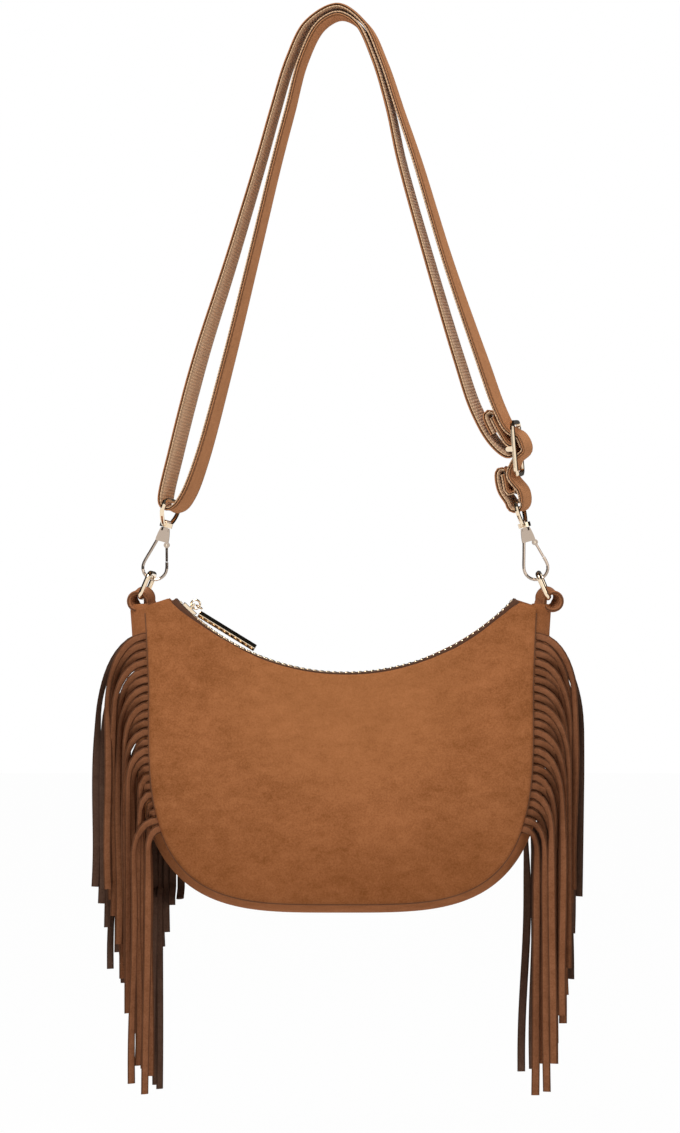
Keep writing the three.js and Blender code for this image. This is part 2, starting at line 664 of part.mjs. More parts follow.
function pullBar() {
  const eye = new THREE.Shape();
  eye.absarc(0, 0, PULL_EYE_RADIUS, Math.PI / 2, (3 * Math.PI) / 2);
  eye.lineTo(PULL_EYE_RADIUS + 1.5, -PULL_EYE_RADIUS);
  eye.lineTo(PULL_EYE_RADIUS + 1.5, PULL_EYE_RADIUS);
  eye.holes.push(new THREE.Path().absarc(0, 0, PULL_EYE_HOLE, 0, 2 * Math.PI));
  const settings = { depth: PULL_EYE_THICKNESS, bevelEnabled: false, curveSegments: 7 };
  const lug = new THREE.ExtrudeGeometry(eye, settings);
  lug.translate(0, 0, -PULL_EYE_THICKNESS / 2);
  const [halfY, halfZ] = [PULL_BAR_WIDTH / 2, PULL_BAR_HEIGHT / 2];
  const edge = PULL_BAR_EDGE;
  const section = [
    [-halfY, -halfZ + edge], [-halfY + edge, -halfZ], [halfY - edge, -halfZ], [halfY, -halfZ + edge],
    [halfY, halfZ - edge], [halfY - edge, halfZ], [-halfY + edge, halfZ], [-halfY, halfZ - edge],
  ];
  const [start, tip] = [PULL_EYE_RADIUS + 0.7, PULL_BAR_LENGTH];
  const stations = [[start, 0.86], [start + edge, 1], [tip - edge, 1], [tip, 0.86]];
  const bar = loft(stations.map(([x, scale]) => section.map(([y, z]) => at(x, y * scale, z * scale))));
  return joined(lug, bar);
}
const pullBarMesh = addPiece(sliderFrame, "puller_bar", pullBar(), gold);
const pullBarWay = at(Math.cos(PULL_BAR_LIFT), 0, Math.sin(PULL_BAR_LIFT));
pullBarMesh.position.copy(pullRingCentre).addScaledVector(pullBarWay, PULL_RING_RADIUS);
pullBarMesh.rotation.y = -PULL_BAR_LIFT;

// Tabs: a sewn loop on top of each gusset end, with its tail inside the gusset

const TAB_OUTER_RADIUS = TAB_TUNNEL_RADIUS + TAB_THICKNESS;
const GUSSET_TOP_Z = seamPoint(GUSSET_DROP).z;
const TAB_X = CORNER_X + TAB_OUT;
const TAB_Z = GUSSET_TOP_Z + GAP + TAB_OUTER_RADIUS;

function tab(side) {
  const loop = new THREE.Shape();
  loop.absarc(side * TAB_X, TAB_Z, TAB_OUTER_RADIUS, 0, 2 * Math.PI);
  loop.holes.push(new THREE.Path().absarc(side * TAB_X, TAB_Z, TAB_TUNNEL_RADIUS, 0, 2 * Math.PI));
  const tailRoom = gussetBulge(FRINGE_START, TAB_WIDTH / 2) - GUSSET_THICKNESS - 4 * GAP;
  const tailOut = CORNER_X + tailRoom;
  const tailIn = tailOut - TAB_THICKNESS;
  const [x0, x1] = side < 0 ? [-tailOut, -tailIn] : [tailIn, tailOut];
  const tail = block(x0, x1, -TAB_WIDTH / 2, TAB_WIDTH / 2, TAB_Z - TAB_TAIL, TAB_Z);
  return joined(plateXZ(loop, TAB_WIDTH), tail);
}

// Rings: a rounded oblong that hangs between the tab's tunnel and the hook's bow

const ringBody = wireLoop(RING_HALF_WIDTH, RING_HEIGHT / 2, RING_CORNER, RING_WIRE);
ringBody.translate(0, 0, RING_HEIGHT / 2);
ringBody.rotateZ(-RING_TURN);

// Snap hooks, in a frame with Z along the swivel and its origin on the shoulder under the eye

const [BOW_X, BOW_Z] = [0, -HOOK_BOW_DROP];
const GATE_PIVOT_Z = -GATE_PIVOT_DROP;

// The point where a line from a point outside the bow touches it, on the left (1) or right (-1)
function bowTangent(x, z, side) {
  const distance = Math.hypot(x - BOW_X, z - BOW_Z);
  const angle = Math.atan2(z - BOW_Z, x - BOW_X) + side * Math.acos(HOOK_BOW_RADIUS / distance);
  const point = at(Math.cos(angle), 0, Math.sin(angle)).multiplyScalar(HOOK_BOW_RADIUS);
  point.add(at(BOW_X, 0, BOW_Z));
  return { angle, point };
}
const legTop = at(-HOOK_HEAD_TOP, 0, -HOOK_HEAD_HEIGHT + 1.6);
const legFoot = bowTangent(legTop.x, legTop.z, 1);
const noseFoot = bowTangent(GATE_PIVOT_X, GATE_PIVOT_Z, -1);
const gatePivot = at(GATE_PIVOT_X, 0, GATE_PIVOT_Z);
const gateRun = gatePivot.distanceTo(noseFoot.point);
const gateWay = noseFoot.point.clone().sub(gatePivot).normalize();
const noseTip = noseFoot.point.clone().addScaledVector(gateWay, -HOOK_NOSE);

function hookBow() {
  const points = [legTop, legTop.clone().lerp(legFoot.point, 0.5)];
  const steps = 10;
  for (let i = 0; i <= steps; i++) {
    const angle = lerp(legFoot.angle, noseFoot.angle + 2 * Math.PI, i / steps);
    points.push(at(BOW_X + HOOK_BOW_RADIUS * Math.cos(angle), 0, BOW_Z + HOOK_BOW_RADIUS * Math.sin(angle)));
  }
  points.push(noseTip);
  return wire(points, HOOK_WIRE, 24);
}

function hookHead() {
  const head = new THREE.Shape();
  head.moveTo(-HOOK_HEAD_TOP, 0);
  head.lineTo(HOOK_HEAD_TOP, 0);
  head.quadraticCurveTo(HOOK_HEAD_FOOT, -HOOK_HEAD_HEIGHT * 0.6, HOOK_HEAD_FOOT, -HOOK_HEAD_HEIGHT);
  head.lineTo(-HOOK_HEAD_FOOT, -HOOK_HEAD_HEIGHT);
  head.quadraticCurveTo(-HOOK_HEAD_FOOT, -HOOK_HEAD_HEIGHT * 0.6, -HOOK_HEAD_TOP, 0);
  const cheeks = rodY(CHEEK_RADIUS, HOOK_HEAD_DEPTH - 2 * GAP, gatePivot.x, gatePivot.z);
  const slot = rodY(SLOT_RADIUS, GATE_EYE_DEPTH + 2 * GAP, gatePivot.x, gatePivot.z);
  const pinHole = rodY(GATE_PIN_RADIUS + GAP / 2, 2 * HOOK_HEAD_DEPTH, gatePivot.x, gatePivot.z);
  return cut(joined(plateXZ(head, HOOK_HEAD_DEPTH), cheeks), slot, pinHole);
}

function hookBody() {
  const eyeSeat = EYE_BASE_HEIGHT + 2 * GAP;
  const profile = [
    [0, -2], [SHOULDER_RADIUS, -2], [SHOULDER_RADIUS, 0], [POST_RADIUS, 0], [POST_RADIUS, eyeSeat],
    [RIVET_RADIUS, eyeSeat], [RIVET_RADIUS, eyeSeat + RIVET_HEIGHT / 2],
    [POST_RADIUS, eyeSeat + RIVET_HEIGHT], [0, eyeSeat + RIVET_HEIGHT],
  ].map(([r, z]) => new THREE.Vector2(r, z));
  const post = new THREE.LatheGeometry(profile, 16).rotateX(Math.PI / 2);
  return joined(hookHead(), hookBow(), post);
}

function hookGate() {
  const eye = rodY(GATE_EYE_RADIUS, GATE_EYE_DEPTH, gatePivot.x, gatePivot.z);
  const hole = rodY(GATE_PIN_RADIUS + GAP, 2 * GATE_EYE_DEPTH, gatePivot.x, gatePivot.z);
  const reach = gateRun - HOOK_NOSE - GAP;
  const stops = [GATE_EYE_RADIUS - 0.4, reach / 2, reach];
  const arm = wire(stops.map((s) => gatePivot.clone().addScaledVector(gateWay, s)), GATE_WIRE, 3);
  return cut(joined(eye, arm), hole);
}

const gatePin = () => rodY(GATE_PIN_RADIUS, HOOK_HEAD_DEPTH - 2 * GAP, gatePivot.x, gatePivot.z, 12);

// Swivel eye: a collar on the hook's post and a wire bow that carries the strap
function swivelEye() {
  const [bore, top] = [POST_RADIUS + GAP, GAP + EYE_BASE_HEIGHT];
  const collarProfile = [
    [bore, GAP],
    [EYE_BASE_RADIUS, GAP],
    [EYE_BASE_RADIUS, top],
    [bore, top],
    [bore, GAP],
  ];
  const collar = new THREE.LatheGeometry(collarProfile.map(([r, z]) => new THREE.Vector2(r, z)), 16);
  collar.rotateX(Math.PI / 2);
  const half = EYE_HALF_WIDTH;
  const middle = (GAP + top) / 2;
  const side = [
    [EYE_BASE_RADIUS - 1, middle], [EYE_BASE_RADIUS + 1.6, middle + 0.4], [half * 0.75, EYE_HEIGHT * 0.34],
    [half, EYE_HEIGHT * 0.62], [half, EYE_HEIGHT - 3], [half - 1, EYE_HEIGHT - 0.8], [half - 3, EYE_HEIGHT],
  ];
  const points = [...side.map(([y, z]) => at(0, -y, z)), ...side.reverse().map(([y, z]) => at(0, y, z))];
  return joined(collar, wire(points, EYE_WIRE, 30));
}

// Each side's chain of tab, ring, hook and eye is placed from the tab upwards

const along = (lean) => at(Math.sin(lean), 0, Math.cos(lean));
const eyeBars = {};

for (const [sideName, side, twist] of [["left", -1, STRAP_TWIST_LEFT], ["right", 1, STRAP_TWIST_RIGHT]]) {
  const ringWay = along(-side * RING_LEAN);
  const hookWay = along(-side * HOOK_LEAN);
  const ringFoot = at(side * TAB_X, 0, TAB_Z);
  ringFoot.addScaledVector(ringWay, TAB_TUNNEL_RADIUS - RING_WIRE - RING_PLAY);
  const bowCentre = ringFoot.clone().addScaledVector(ringWay, RING_HEIGHT);
  bowCentre.addScaledVector(ringWay, HOOK_BOW_RADIUS - HOOK_WIRE - RING_WIRE - HOOK_PLAY);
  addPiece(bag, `${sideName}_tab`, tab(side), suede);
  const ring = addPiece(bag, `${sideName}_ring`, ringBody.clone(), gold);
  ring.position.copy(ringFoot);
  ring.rotation.y = -side * RING_LEAN;
  const hook = new THREE.Group();
  hook.position.copy(bowCentre).addScaledVector(hookWay, HOOK_BOW_DROP);
  hook.rotation.y = -side * HOOK_LEAN;
  bag.add(hook);
  addPiece(hook, `${sideName}_hook`, hookBody(), gold);
  addPiece(hook, `${sideName}_gate`, hookGate(), gold);
  addPiece(hook, `${sideName}_gate_pin`, gatePin(), gold);
  addPiece(hook, `${sideName}_eye`, swivelEye(), gold).rotation.z = -twist;
  eyeBars[sideName] = hook.position.clone().addScaledVector(hookWay, EYE_HEIGHT).add(bag.position);
}

// Strap: one doubled ribbon from the right eye, through the buckle, over the crest, round the left eye,
// back over the crest and round the buckle's centre bar. Its points are X and Z of the middle of the ribbon.

const crestLower = STRAP_THICKNESS / 2;
const crestUpper = crestLower + STRAP_THICKNESS + CREST_GAP;
const rightEye = eyeBars.right;
const leftEye = eyeBars.left;

// The slide buckle lies across the ribbon, with its centre bar set off towards the inner run
const buckleWay = along(BUCKLE_LEAN);
const buckleCentre = at(BUCKLE_X, 0, BUCKLE_Z);
const centreBar = at(BUCKLE_X - BUCKLE_BAR_OFFSET, 0, BUCKLE_Z);
const wrapRadius = BUCKLE_WIRE + 2 * GAP + STRAP_THICKNESS / 2;
const eyeWrap = EYE_WIRE + 4 * GAP + STRAP_THICKNESS / 2;

// Points on a turn round a bar, by the angle from +X towards +Z in degrees
const turnRound = (bar, radius, degrees) =>
  degrees.map((d) => [bar.x + radius * Math.cos(rad(d)), bar.z + radius * Math.sin(rad(d))]);

const strapRoute = [
  [rightEye.x - 8, rightEye.z + 20],
  [rightEye.x - 6.5, rightEye.z + 10],
  ...turnRound(rightEye, eyeWrap, [180, 225, 270, 315, 360]),
  [rightEye.x + 2.6, rightEye.z + 7],
  [buckleCentre.x - 4.7, buckleCentre.z - 16.3],
  [buckleCentre.x + 0.3, buckleCentre.z - 7.4],
  [buckleCentre.x + 5.4, buckleCentre.z - 1],
  [buckleCentre.x + 2.6, buckleCentre.z + 7],
  [buckleCentre.x - 4.2, buckleCentre.z + 11.6],
  [96, -234], [85.2, -204], [64.5, -144], [46.2, -84], [36, -54], [25.8, -24], [15.6, -3],
  [0, crestUpper],
  [-18.6, -3], [-29.4, -24], [-38.7, -54], [-47.1, -84], [-65.1, -144], [-84, -204], [-98, -258],
  ...turnRound(leftEye, eyeWrap, [180, 225, 270]),
  [leftEye.x + 4.5, leftEye.z - 2.6], [leftEye.x + 9.4, leftEye.z + 4],
  [-83.1, -264], [-66.9, -204], [-52.2, -144], [-37.5, -84], [-29.4, -54], [-20, -24], [-9.6, -3],
  [0, crestLower],
  [8.8, -3], [20, -24], [30, -54], [36.9, -84], [53.7, -144], [71.7, -204], [81.9, -234],
  [centreBar.x - 9.5, centreBar.z + 3.5],
  ...turnRound(centreBar, wrapRadius, [-110, -60, -10, 40, 90]),
  [centreBar.x - 6.4, centreBar.z + 10.5],
  [centreBar.x - 11.6, centreBar.z + 20],
].map(([x, z]) => at(x, 0, z));

// The ribbon's width leans with the hooks and twists so that its far edge turns to the right
function ribbonWidth(x) {
  const share = clamp(x / TWIST_RUN, -1, 1);
  const twist = lerp(STRAP_TWIST_CREST, share < 0 ? STRAP_TWIST_LEFT : STRAP_TWIST_RIGHT, Math.abs(share));
  const lean = -share * HOOK_LEAN;
  return at(Math.sin(twist) * Math.cos(lean), Math.cos(twist), -Math.sin(twist) * Math.sin(lean));
}

const strapLine = new THREE.CatmullRomCurve3(strapRoute, false, "centripetal");

// Stations close together round the bars and further apart on the straight runs
function strapStations() {
  const stations = [];
  const spans = strapRoute.length - 1;
  for (let i = 0; i < spans; i++) {
    const run = strapRoute[i].distanceTo(strapRoute[i + 1]);
    const steps = run > 20 ? 2 : 1;
    for (let k = 0; k < steps; k++) stations.push((i + k / steps) / spans);
  }
  return [...stations, 1];
}

function strapLayer(side) {
  const middle = side * (LAYER_THICKNESS + GAP) / 2;
  return loft(strapStations().map((t) => {
    const point = strapLine.getPoint(t);
    const tangent = strapLine.getTangent(t);
    const width = ribbonWidth(point.x);
    const face = width.clone().cross(tangent).normalize();
    const corner = (edge, offset) =>
      point.clone().addScaledVector(width, edge * STRAP_WIDTH / 2).addScaledVector(face, offset);
    const [inner, outer] = [middle - LAYER_THICKNESS / 2, middle + LAYER_THICKNESS / 2];
    return [corner(-1, inner), corner(1, inner), corner(1, outer), corner(-1, outer)];
  }));
}
addPiece(model, "strap_suede", strapLayer(1), suede);
addPiece(model, "strap_webbing", strapLayer(-1), webbing);

function slideBuckle() {
  const half = STRAP_WIDTH / 2 + 2 * GAP + BUCKLE_WIRE;
  const frame = wireLoop(half, BUCKLE_LENGTH / 2, BUCKLE_CORNER, BUCKLE_WIRE);
  const bar = rodY(BUCKLE_WIRE, 2 * half, -BUCKLE_BAR_OFFSET, 0, 10);
  const lugs = [-half, half].map((y) =>
    block(-BUCKLE_BAR_OFFSET, 0, y - BUCKLE_WIRE * 0.8, y + BUCKLE_WIRE * 0.8, -BUCKLE_WIRE, BUCKLE_WIRE));
  return joined(frame, bar, ...lugs);
}
const buckle = addPiece(model, "slide_buckle", slideBuckle(), gold);
const buckleWidth = ribbonWidth(BUCKLE_X);
const buckleUp = buckleWay.clone().addScaledVector(buckleWidth, -buckleWay.dot(buckleWidth)).normalize();
const buckleOut = buckleWidth.clone().cross(buckleUp);
buckle.quaternion.setFromRotationMatrix(new THREE.Matrix4().makeBasis(buckleOut, buckleWidth, buckleUp));
buckle.position.copy(buckleCentre);

export default model;
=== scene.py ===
import bpy
import bmesh
import math

import numpy as np
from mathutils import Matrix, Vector


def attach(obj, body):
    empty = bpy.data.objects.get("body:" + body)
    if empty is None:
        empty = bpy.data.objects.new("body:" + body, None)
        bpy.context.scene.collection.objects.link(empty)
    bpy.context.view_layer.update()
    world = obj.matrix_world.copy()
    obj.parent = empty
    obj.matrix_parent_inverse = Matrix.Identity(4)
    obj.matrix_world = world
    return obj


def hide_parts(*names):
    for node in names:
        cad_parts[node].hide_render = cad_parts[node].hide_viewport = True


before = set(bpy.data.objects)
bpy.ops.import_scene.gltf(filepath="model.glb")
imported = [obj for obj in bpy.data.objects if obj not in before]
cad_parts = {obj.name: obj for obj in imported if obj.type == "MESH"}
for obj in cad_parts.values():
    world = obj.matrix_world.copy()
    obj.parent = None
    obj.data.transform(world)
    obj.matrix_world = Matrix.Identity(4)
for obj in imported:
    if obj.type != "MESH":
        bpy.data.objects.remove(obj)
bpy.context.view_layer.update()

# All shapes below are written in millimetres in the CAD frame and turned into metres when a mesh is made.
MM = 0.001
SEED = 7
rng = np.random.default_rng(SEED)

BAG_X = 3.2
# The soft shell hangs a little to the left of the zip
PANEL_X = 0.6
MOUTH_R = 138.0
ARC_Z = -254.0
MOUTH_HALF = math.radians(47.5)
MOUTH_DEPTH = 13.0
HALF_W = 113.5
CORNER_X = 115.7
CORNER_Z = ARC_Z - MOUTH_R * math.cos(MOUTH_HALF) - 4.5
WIDEST_Z = -400.0
BOTTOM_B = 127.5
ROUND = 3.7
SEAM_DEPTH = 30.0
DEPTH_RUN = 110.0
BELLY = 7.0
SKIN = 2.0
STRAP_W = 25.0
STRIP_WIDTH = 4.7
LAYER = 1.4
LAYER_GAP = 0.1
# Radius of the strap's middle round the bars of the eyes and of the buckle
EYE_TURN = 4.05
BAR_TURN = 3.6
ROUTE_STEP = 1.2
RIB_PITCH = 1.9
RIB_COLUMN = 4.2
STITCH_PITCH = 3.2
RING_HALF_WIDTH = 10.5
RING_HALF_HEIGHT = 7.8
RING_CORNER = 4.0
RING_WIRE = 3.0
RING_Z = -346.45
BAR_SIZE = 3.3
TOOTH_PITCH = 3.8
# In metres, unlike the sizes above
FLOOR_Z = -0.70


# Mesh helpers

class Skin:
    """Collects lofted rings into one closed mesh, with a UV map that counts points and rings."""

    def __init__(self):
        self.verts, self.faces, self.uvs = [], [], []

    def loft(self, rings):
        rings = np.asarray(rings, float)
        count, size = rings.shape[:2]
        base = sum(len(v) for v in self.verts)
        self.verts.append(rings.reshape(-1, 3))
        for i in range(count - 1):
            here, there = base + i * size, base + (i + 1) * size
            for j in range(size):
                n = (j + 1) % size
                self.faces.append([here + j, here + n, there + n, there + j])
                self.uvs += [(j, i), (j + 1, i), (j + 1, i + 1), (j, i + 1)]
        for i in (0, count - 1):
            self.faces.append([base + i * size + j for j in range(size)])
            self.uvs += [(j, i) for j in range(size)]
        return self

    def build(self, name, material, body="bag", replaces=(), slot=None, smooth=True):
        mesh = bpy.data.meshes.new(name)
        verts = np.concatenate(self.verts) * MM
        mesh.from_pydata(verts.tolist(), [], self.faces)
        layer = mesh.uv_layers.new(name="size_mm")
        layer.data.foreach_set("uv", np.array(self.uvs, float).ravel())
        work = bmesh.new()
        work.from_mesh(mesh)
        bmesh.ops.recalc_face_normals(work, faces=work.faces)
        work.to_mesh(mesh)
        work.free()
        if smooth:
            mesh.shade_smooth()
        return place(bpy.data.objects.new(name, mesh), material, body, replaces)


def place(obj, material, body="bag", replaces=()):
    if obj.name not in bpy.context.scene.collection.objects:
        bpy.context.scene.collection.objects.link(obj)
    obj.data.materials.clear()
    obj.data.materials.append(material)
    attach(obj, body)
    if replaces:
        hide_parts(*replaces)
    return obj


def unit(v):
    return v / np.linalg.norm(v, axis=-1, keepdims=True)


def lengths(path):
    return np.concatenate([[0], np.cumsum(np.linalg.norm(np.diff(path, axis=0), axis=1))])


def tangents(path, closed=False):
    if closed:
        return unit(np.roll(path, -1, 0) - np.roll(path, 1, 0))
    return unit(np.gradient(path, axis=0))


def spline(points, per_span=8):
    """Centripetal spline through points, the kind of curve that the CAD strap follows."""
    p = np.asarray(points, float)
    p = np.vstack([2 * p[0] - p[1], p, 2 * p[-1] - p[-2]])
    out = []
    for i in range(1, len(p) - 2):
        a, b, c, d = p[i - 1:i + 3]
        d0, d1, d2 = (max(np.linalg.norm(q - r), 1e-6) ** 0.5 for q, r in ((b, a), (c, b), (d, c)))
        m1 = ((b - a) / d0 - (c - a) / (d0 + d1) + (c - b) / d1) * d1
        m2 = ((c - b) / d1 - (d - b) / (d1 + d2) + (d - c) / d2) * d1
        steps = np.linspace(0, 1, per_span, endpoint=False)
        if i == len(p) - 3:
            steps = np.linspace(0, 1, per_span + 1)
        t = steps[:, None]
        out.append((2 * t**3 - 3 * t**2 + 1) * b + (t**3 - 2 * t**2 + t) * m1
                   + (-2 * t**3 + 3 * t**2) * c + (t**3 - t**2) * m2)
    return np.vstack(out)


def resample(path, step):
    at = lengths(path)
    count = max(2, int(round(at[-1] / step)) + 1)
    want = np.linspace(0, at[-1], count)
    return np.stack([np.interp(want, at, path[:, k]) for k in range(3)], axis=1)


def strip_section(cuts):
    """Outline of a flat strip with soft edges, one unit wide and one unit thick."""
    u = np.linspace(-1, 1, cuts + 1)
    edge = np.sqrt(np.clip(1 - np.abs(u) ** 14, 0, 1)) * 0.72 + 0.28
    top = np.stack([u / 2, edge / 2], axis=1)
    return np.vstack([top, (top * [1, -1])[::-1]])


def round_section(sides):
    turn = np.linspace(0, 2 * math.pi, sides, endpoint=False)
    return np.stack([np.cos(turn) / 2, np.sin(turn) / 2], axis=1)


# Materials

def new_material(name):
    material = bpy.data.materials.new(name)
    material.use_nodes = True
    tree = material.node_tree
    return material, tree, tree.nodes["Principled BSDF"]


def add(tree, kind, inputs=None, **settings):
    node = tree.nodes.new(kind)
    for key, value in settings.items():
        setattr(node, key, value)
    for key, value in (inputs or {}).items():
        if isinstance(value, bpy.types.NodeSocket):
            tree.links.new(value, node.inputs[key])
        else:
            node.inputs[key].default_value = value
    return node


def maths(tree, operation, a, b=0.0):
    return add(tree, "ShaderNodeMath", {0: a, 1: b}, operation=operation).outputs[0]


def mix_color(tree, factor, a, b):
    node = tree.nodes.new("ShaderNodeMix")
    node.data_type = "RGBA"
    for socket, value in ((node.inputs[0], factor), (node.inputs[6], a), (node.inputs[7], b)):
        if isinstance(value, bpy.types.NodeSocket):
            tree.links.new(value, socket)
        else:
            socket.default_value = value
    return node.outputs[2]


def srgb(r, g, b):
    return tuple(((c / 255 + 0.055) / 1.055) ** 2.4 if c > 10 else c / 255 / 12.92 for c in (r, g, b)) + (1.0,)


def suede_group():
    """Brushed nap: broad strokes, small scuffs and fine fibre, as a colour and a height."""
    group = bpy.data.node_groups.new("suede_nap", "ShaderNodeTree")
    face = group.interface
    face.new_socket("Vector", in_out="INPUT", socket_type="NodeSocketVector")
    face.new_socket("Color", in_out="INPUT", socket_type="NodeSocketColor")
    face.new_socket("Contrast", in_out="INPUT", socket_type="NodeSocketFloat")
    face.new_socket("Color", in_out="OUTPUT", socket_type="NodeSocketColor")
    face.new_socket("Height", in_out="OUTPUT", socket_type="NodeSocketFloat")
    given = group.nodes.new("NodeGroupInput")
    out = group.nodes.new("NodeGroupOutput")
    here = given.outputs["Vector"]
    broad = add(group, "ShaderNodeTexNoise", {"Vector": here, "Scale": 15.0, "Detail": 3.0})
    stretch = add(group, "ShaderNodeMapping", {"Vector": here, "Scale": (0.6, 1.0, 1.0)})
    patch = add(group, "ShaderNodeTexNoise",
                {"Vector": stretch.outputs[0], "Scale": 55.0, "Detail": 6.0, "Roughness": 0.65, "Distortion": 0.6})
    scuff = add(group, "ShaderNodeTexNoise",
                {"Vector": stretch.outputs[0], "Scale": 190.0, "Detail": 5.0, "Roughness": 0.7})
    fibre = add(group, "ShaderNodeTexNoise", {"Vector": here, "Scale": 1000.0, "Detail": 3.0, "Roughness": 0.7})
    total = 0.5
    for part, weight in ((broad, 0.35), (patch, 1.1), (scuff, 1.1), (fibre, 1.5)):
        away = maths(group, "MULTIPLY", maths(group, "SUBTRACT", part.outputs["Fac"], 0.5), weight)
        away = maths(group, "MULTIPLY", away, given.outputs["Contrast"])
        total = maths(group, "ADD", away, total)
    total = add(group, "ShaderNodeClamp", {0: total}).outputs[0]
    low, high = (add(group, "ShaderNodeVectorMath", {0: given.outputs["Color"], "Scale": times},
                     operation="SCALE").outputs[0] for times in (0.66, 1.16))
    high = add(group, "ShaderNodeVectorMath", {0: high, 1: (0.032, 0.030, 0.024)}).outputs[0]
    group.links.new(mix_color(group, total, low, high), out.inputs["Color"])
    height = maths(group, "ADD", fibre.outputs["Fac"], maths(group, "MULTIPLY", scuff.outputs["Fac"], 0.8))
    group.links.new(height, out.inputs["Height"])
    return group


NAP = suede_group()


def split_uv(tree, place_at):
    """Distance from the middle of a strip and distance along it, in millimetres."""
    parts = add(tree, "ShaderNodeSeparateXYZ", {0: place_at.outputs["UV"]})
    return maths(tree, "ABSOLUTE", parts.outputs[0]), parts.outputs[1]


def fleck_group():
    """Fine flecks: a mask that varies over the surface, between two given values."""
    group = bpy.data.node_groups.new("fine_fleck", "ShaderNodeTree")
    face = group.interface
    face.new_socket("Vector", in_out="INPUT", socket_type="NodeSocketVector")
    for label in ("Scale", "Low", "High"):
        face.new_socket(label, in_out="INPUT", socket_type="NodeSocketFloat")
    face.new_socket("Mask", in_out="OUTPUT", socket_type="NodeSocketFloat")
    given = group.nodes.new("NodeGroupInput")
    out = group.nodes.new("NodeGroupOutput")
    noise = add(group, "ShaderNodeTexNoise",
                {"Vector": given.outputs["Vector"], "Scale": given.outputs["Scale"], "Detail": 3.0})
    span = maths(group, "SUBTRACT", given.outputs["High"], given.outputs["Low"])
    mask = maths(group, "ADD", maths(group, "MULTIPLY", noise.outputs["Fac"], span), given.outputs["Low"])
    group.links.new(mask, out.inputs["Mask"])
    return group


FLECK = fleck_group()


def fleck(tree, place_at, scale, low, high):
    node = add(tree, "ShaderNodeGroup", node_tree=FLECK)
    tree.links.new(place_at.outputs["Object"], node.inputs["Vector"])
    for label, value in (("Scale", scale), ("Low", low), ("High", high)):
        node.inputs[label].default_value = value
    return node.outputs["Mask"]


def border(tree, across, edge, wide, bare):
    """Mask of a line along a strip's edge, wide at most, with the last of it left bare."""
    inside = maths(tree, "LESS_THAN", across, edge - bare)
    return maths(tree, "MULTIPLY", maths(tree, "GREATER_THAN", across, edge - wide), inside)


def painted_light_tone(tree, place_at, tint):
    """Painted light on the panel: a painted highlight, paler below the middle of the mouth, and painted shade, deeper
    towards the bottom.
    """
    spot = add(tree, "ShaderNodeSeparateXYZ", {0: place_at.outputs["Object"]})
    side = maths(tree, "DIVIDE", maths(tree, "SUBTRACT", spot.outputs[0], 0.003), 0.085)
    rise = maths(tree, "DIVIDE", maths(tree, "ADD", spot.outputs[2], 0.405), 0.065)
    away = maths(tree, "ADD", maths(tree, "MULTIPLY", side, side), maths(tree, "MULTIPLY", rise, rise))
    pale = maths(tree, "MAXIMUM", maths(tree, "SUBTRACT", 1.0, away), 0.0)
    drop = maths(tree, "DIVIDE", maths(tree, "SUBTRACT", -0.468, spot.outputs[2]), 0.048)
    painted_shade = maths(tree, "MAXIMUM", maths(tree, "MINIMUM", drop, 1.0), 0.0)
    # Painted highlight below the middle of the mouth, then painted shade towards the bottom
    tint = mix_color(tree, maths(tree, "MULTIPLY", pale, 0.28), tint, srgb(182, 121, 74))
    return mix_color(tree, maths(tree, "MULTIPLY", painted_shade, 0.2), tint, srgb(112, 54, 6))


def suede(name, color, contrast=0.55, edge=None, thread=0.6, wide=0.7, bare=-1.0, painted_light=False):
    """Suede with its grain in object coordinates. A strip of half width edge has dark edges and a stitched line."""
    material, tree, shader = new_material(name)
    place_at = add(tree, "ShaderNodeTexCoord")
    nap = add(tree, "ShaderNodeGroup", node_tree=NAP)
    tree.links.new(place_at.outputs["Object"], nap.inputs["Vector"])
    nap.inputs["Color"].default_value = color
    nap.inputs["Contrast"].default_value = contrast
    tint, height = nap.outputs["Color"], nap.outputs["Height"]
    # Painted light for the panel: a painted highlight below the mouth and painted shade towards the bottom
    if painted_light:
        tint = painted_light_tone(tree, place_at, tint)
    if edge:
        across, along = split_uv(tree, place_at)
        rim = border(tree, across, edge, wide, bare)
        off_line = maths(tree, "ABSOLUTE", maths(tree, "SUBTRACT", across, edge - 2.2))
        line = maths(tree, "LESS_THAN", off_line, 0.35)
        stitch = maths(tree, "FRACT", maths(tree, "DIVIDE", along, STITCH_PITCH))
        dash = maths(tree, "GREATER_THAN", stitch, 0.3)
        stitched = maths(tree, "MULTIPLY", maths(tree, "MULTIPLY", line, dash), thread)
        dark = maths(tree, "MAXIMUM", maths(tree, "MULTIPLY", rim, 0.6), stitched)
        tint = mix_color(tree, dark, tint, srgb(48, 28, 18))
        height = maths(tree, "SUBTRACT", height, maths(tree, "MULTIPLY", stitched, 2.5))
    bump = add(tree, "ShaderNodeBump", {"Height": height, "Strength": 0.35, "Distance": 0.0005})
    tree.links.new(tint, shader.inputs["Base Color"])
    tree.links.new(bump.outputs[0], shader.inputs["Normal"])
    shader.inputs["Roughness"].default_value = 0.95
    shader.inputs["Specular IOR Level"].default_value = 0.15
    shader.inputs["Sheen Weight"].default_value = 0.25
    shader.inputs["Sheen Roughness"].default_value = 0.45
    shader.inputs["Sheen Tint"].default_value = tuple(min(1.0, 1.8 * c) for c in color[:3]) + (1.0,)
    return material


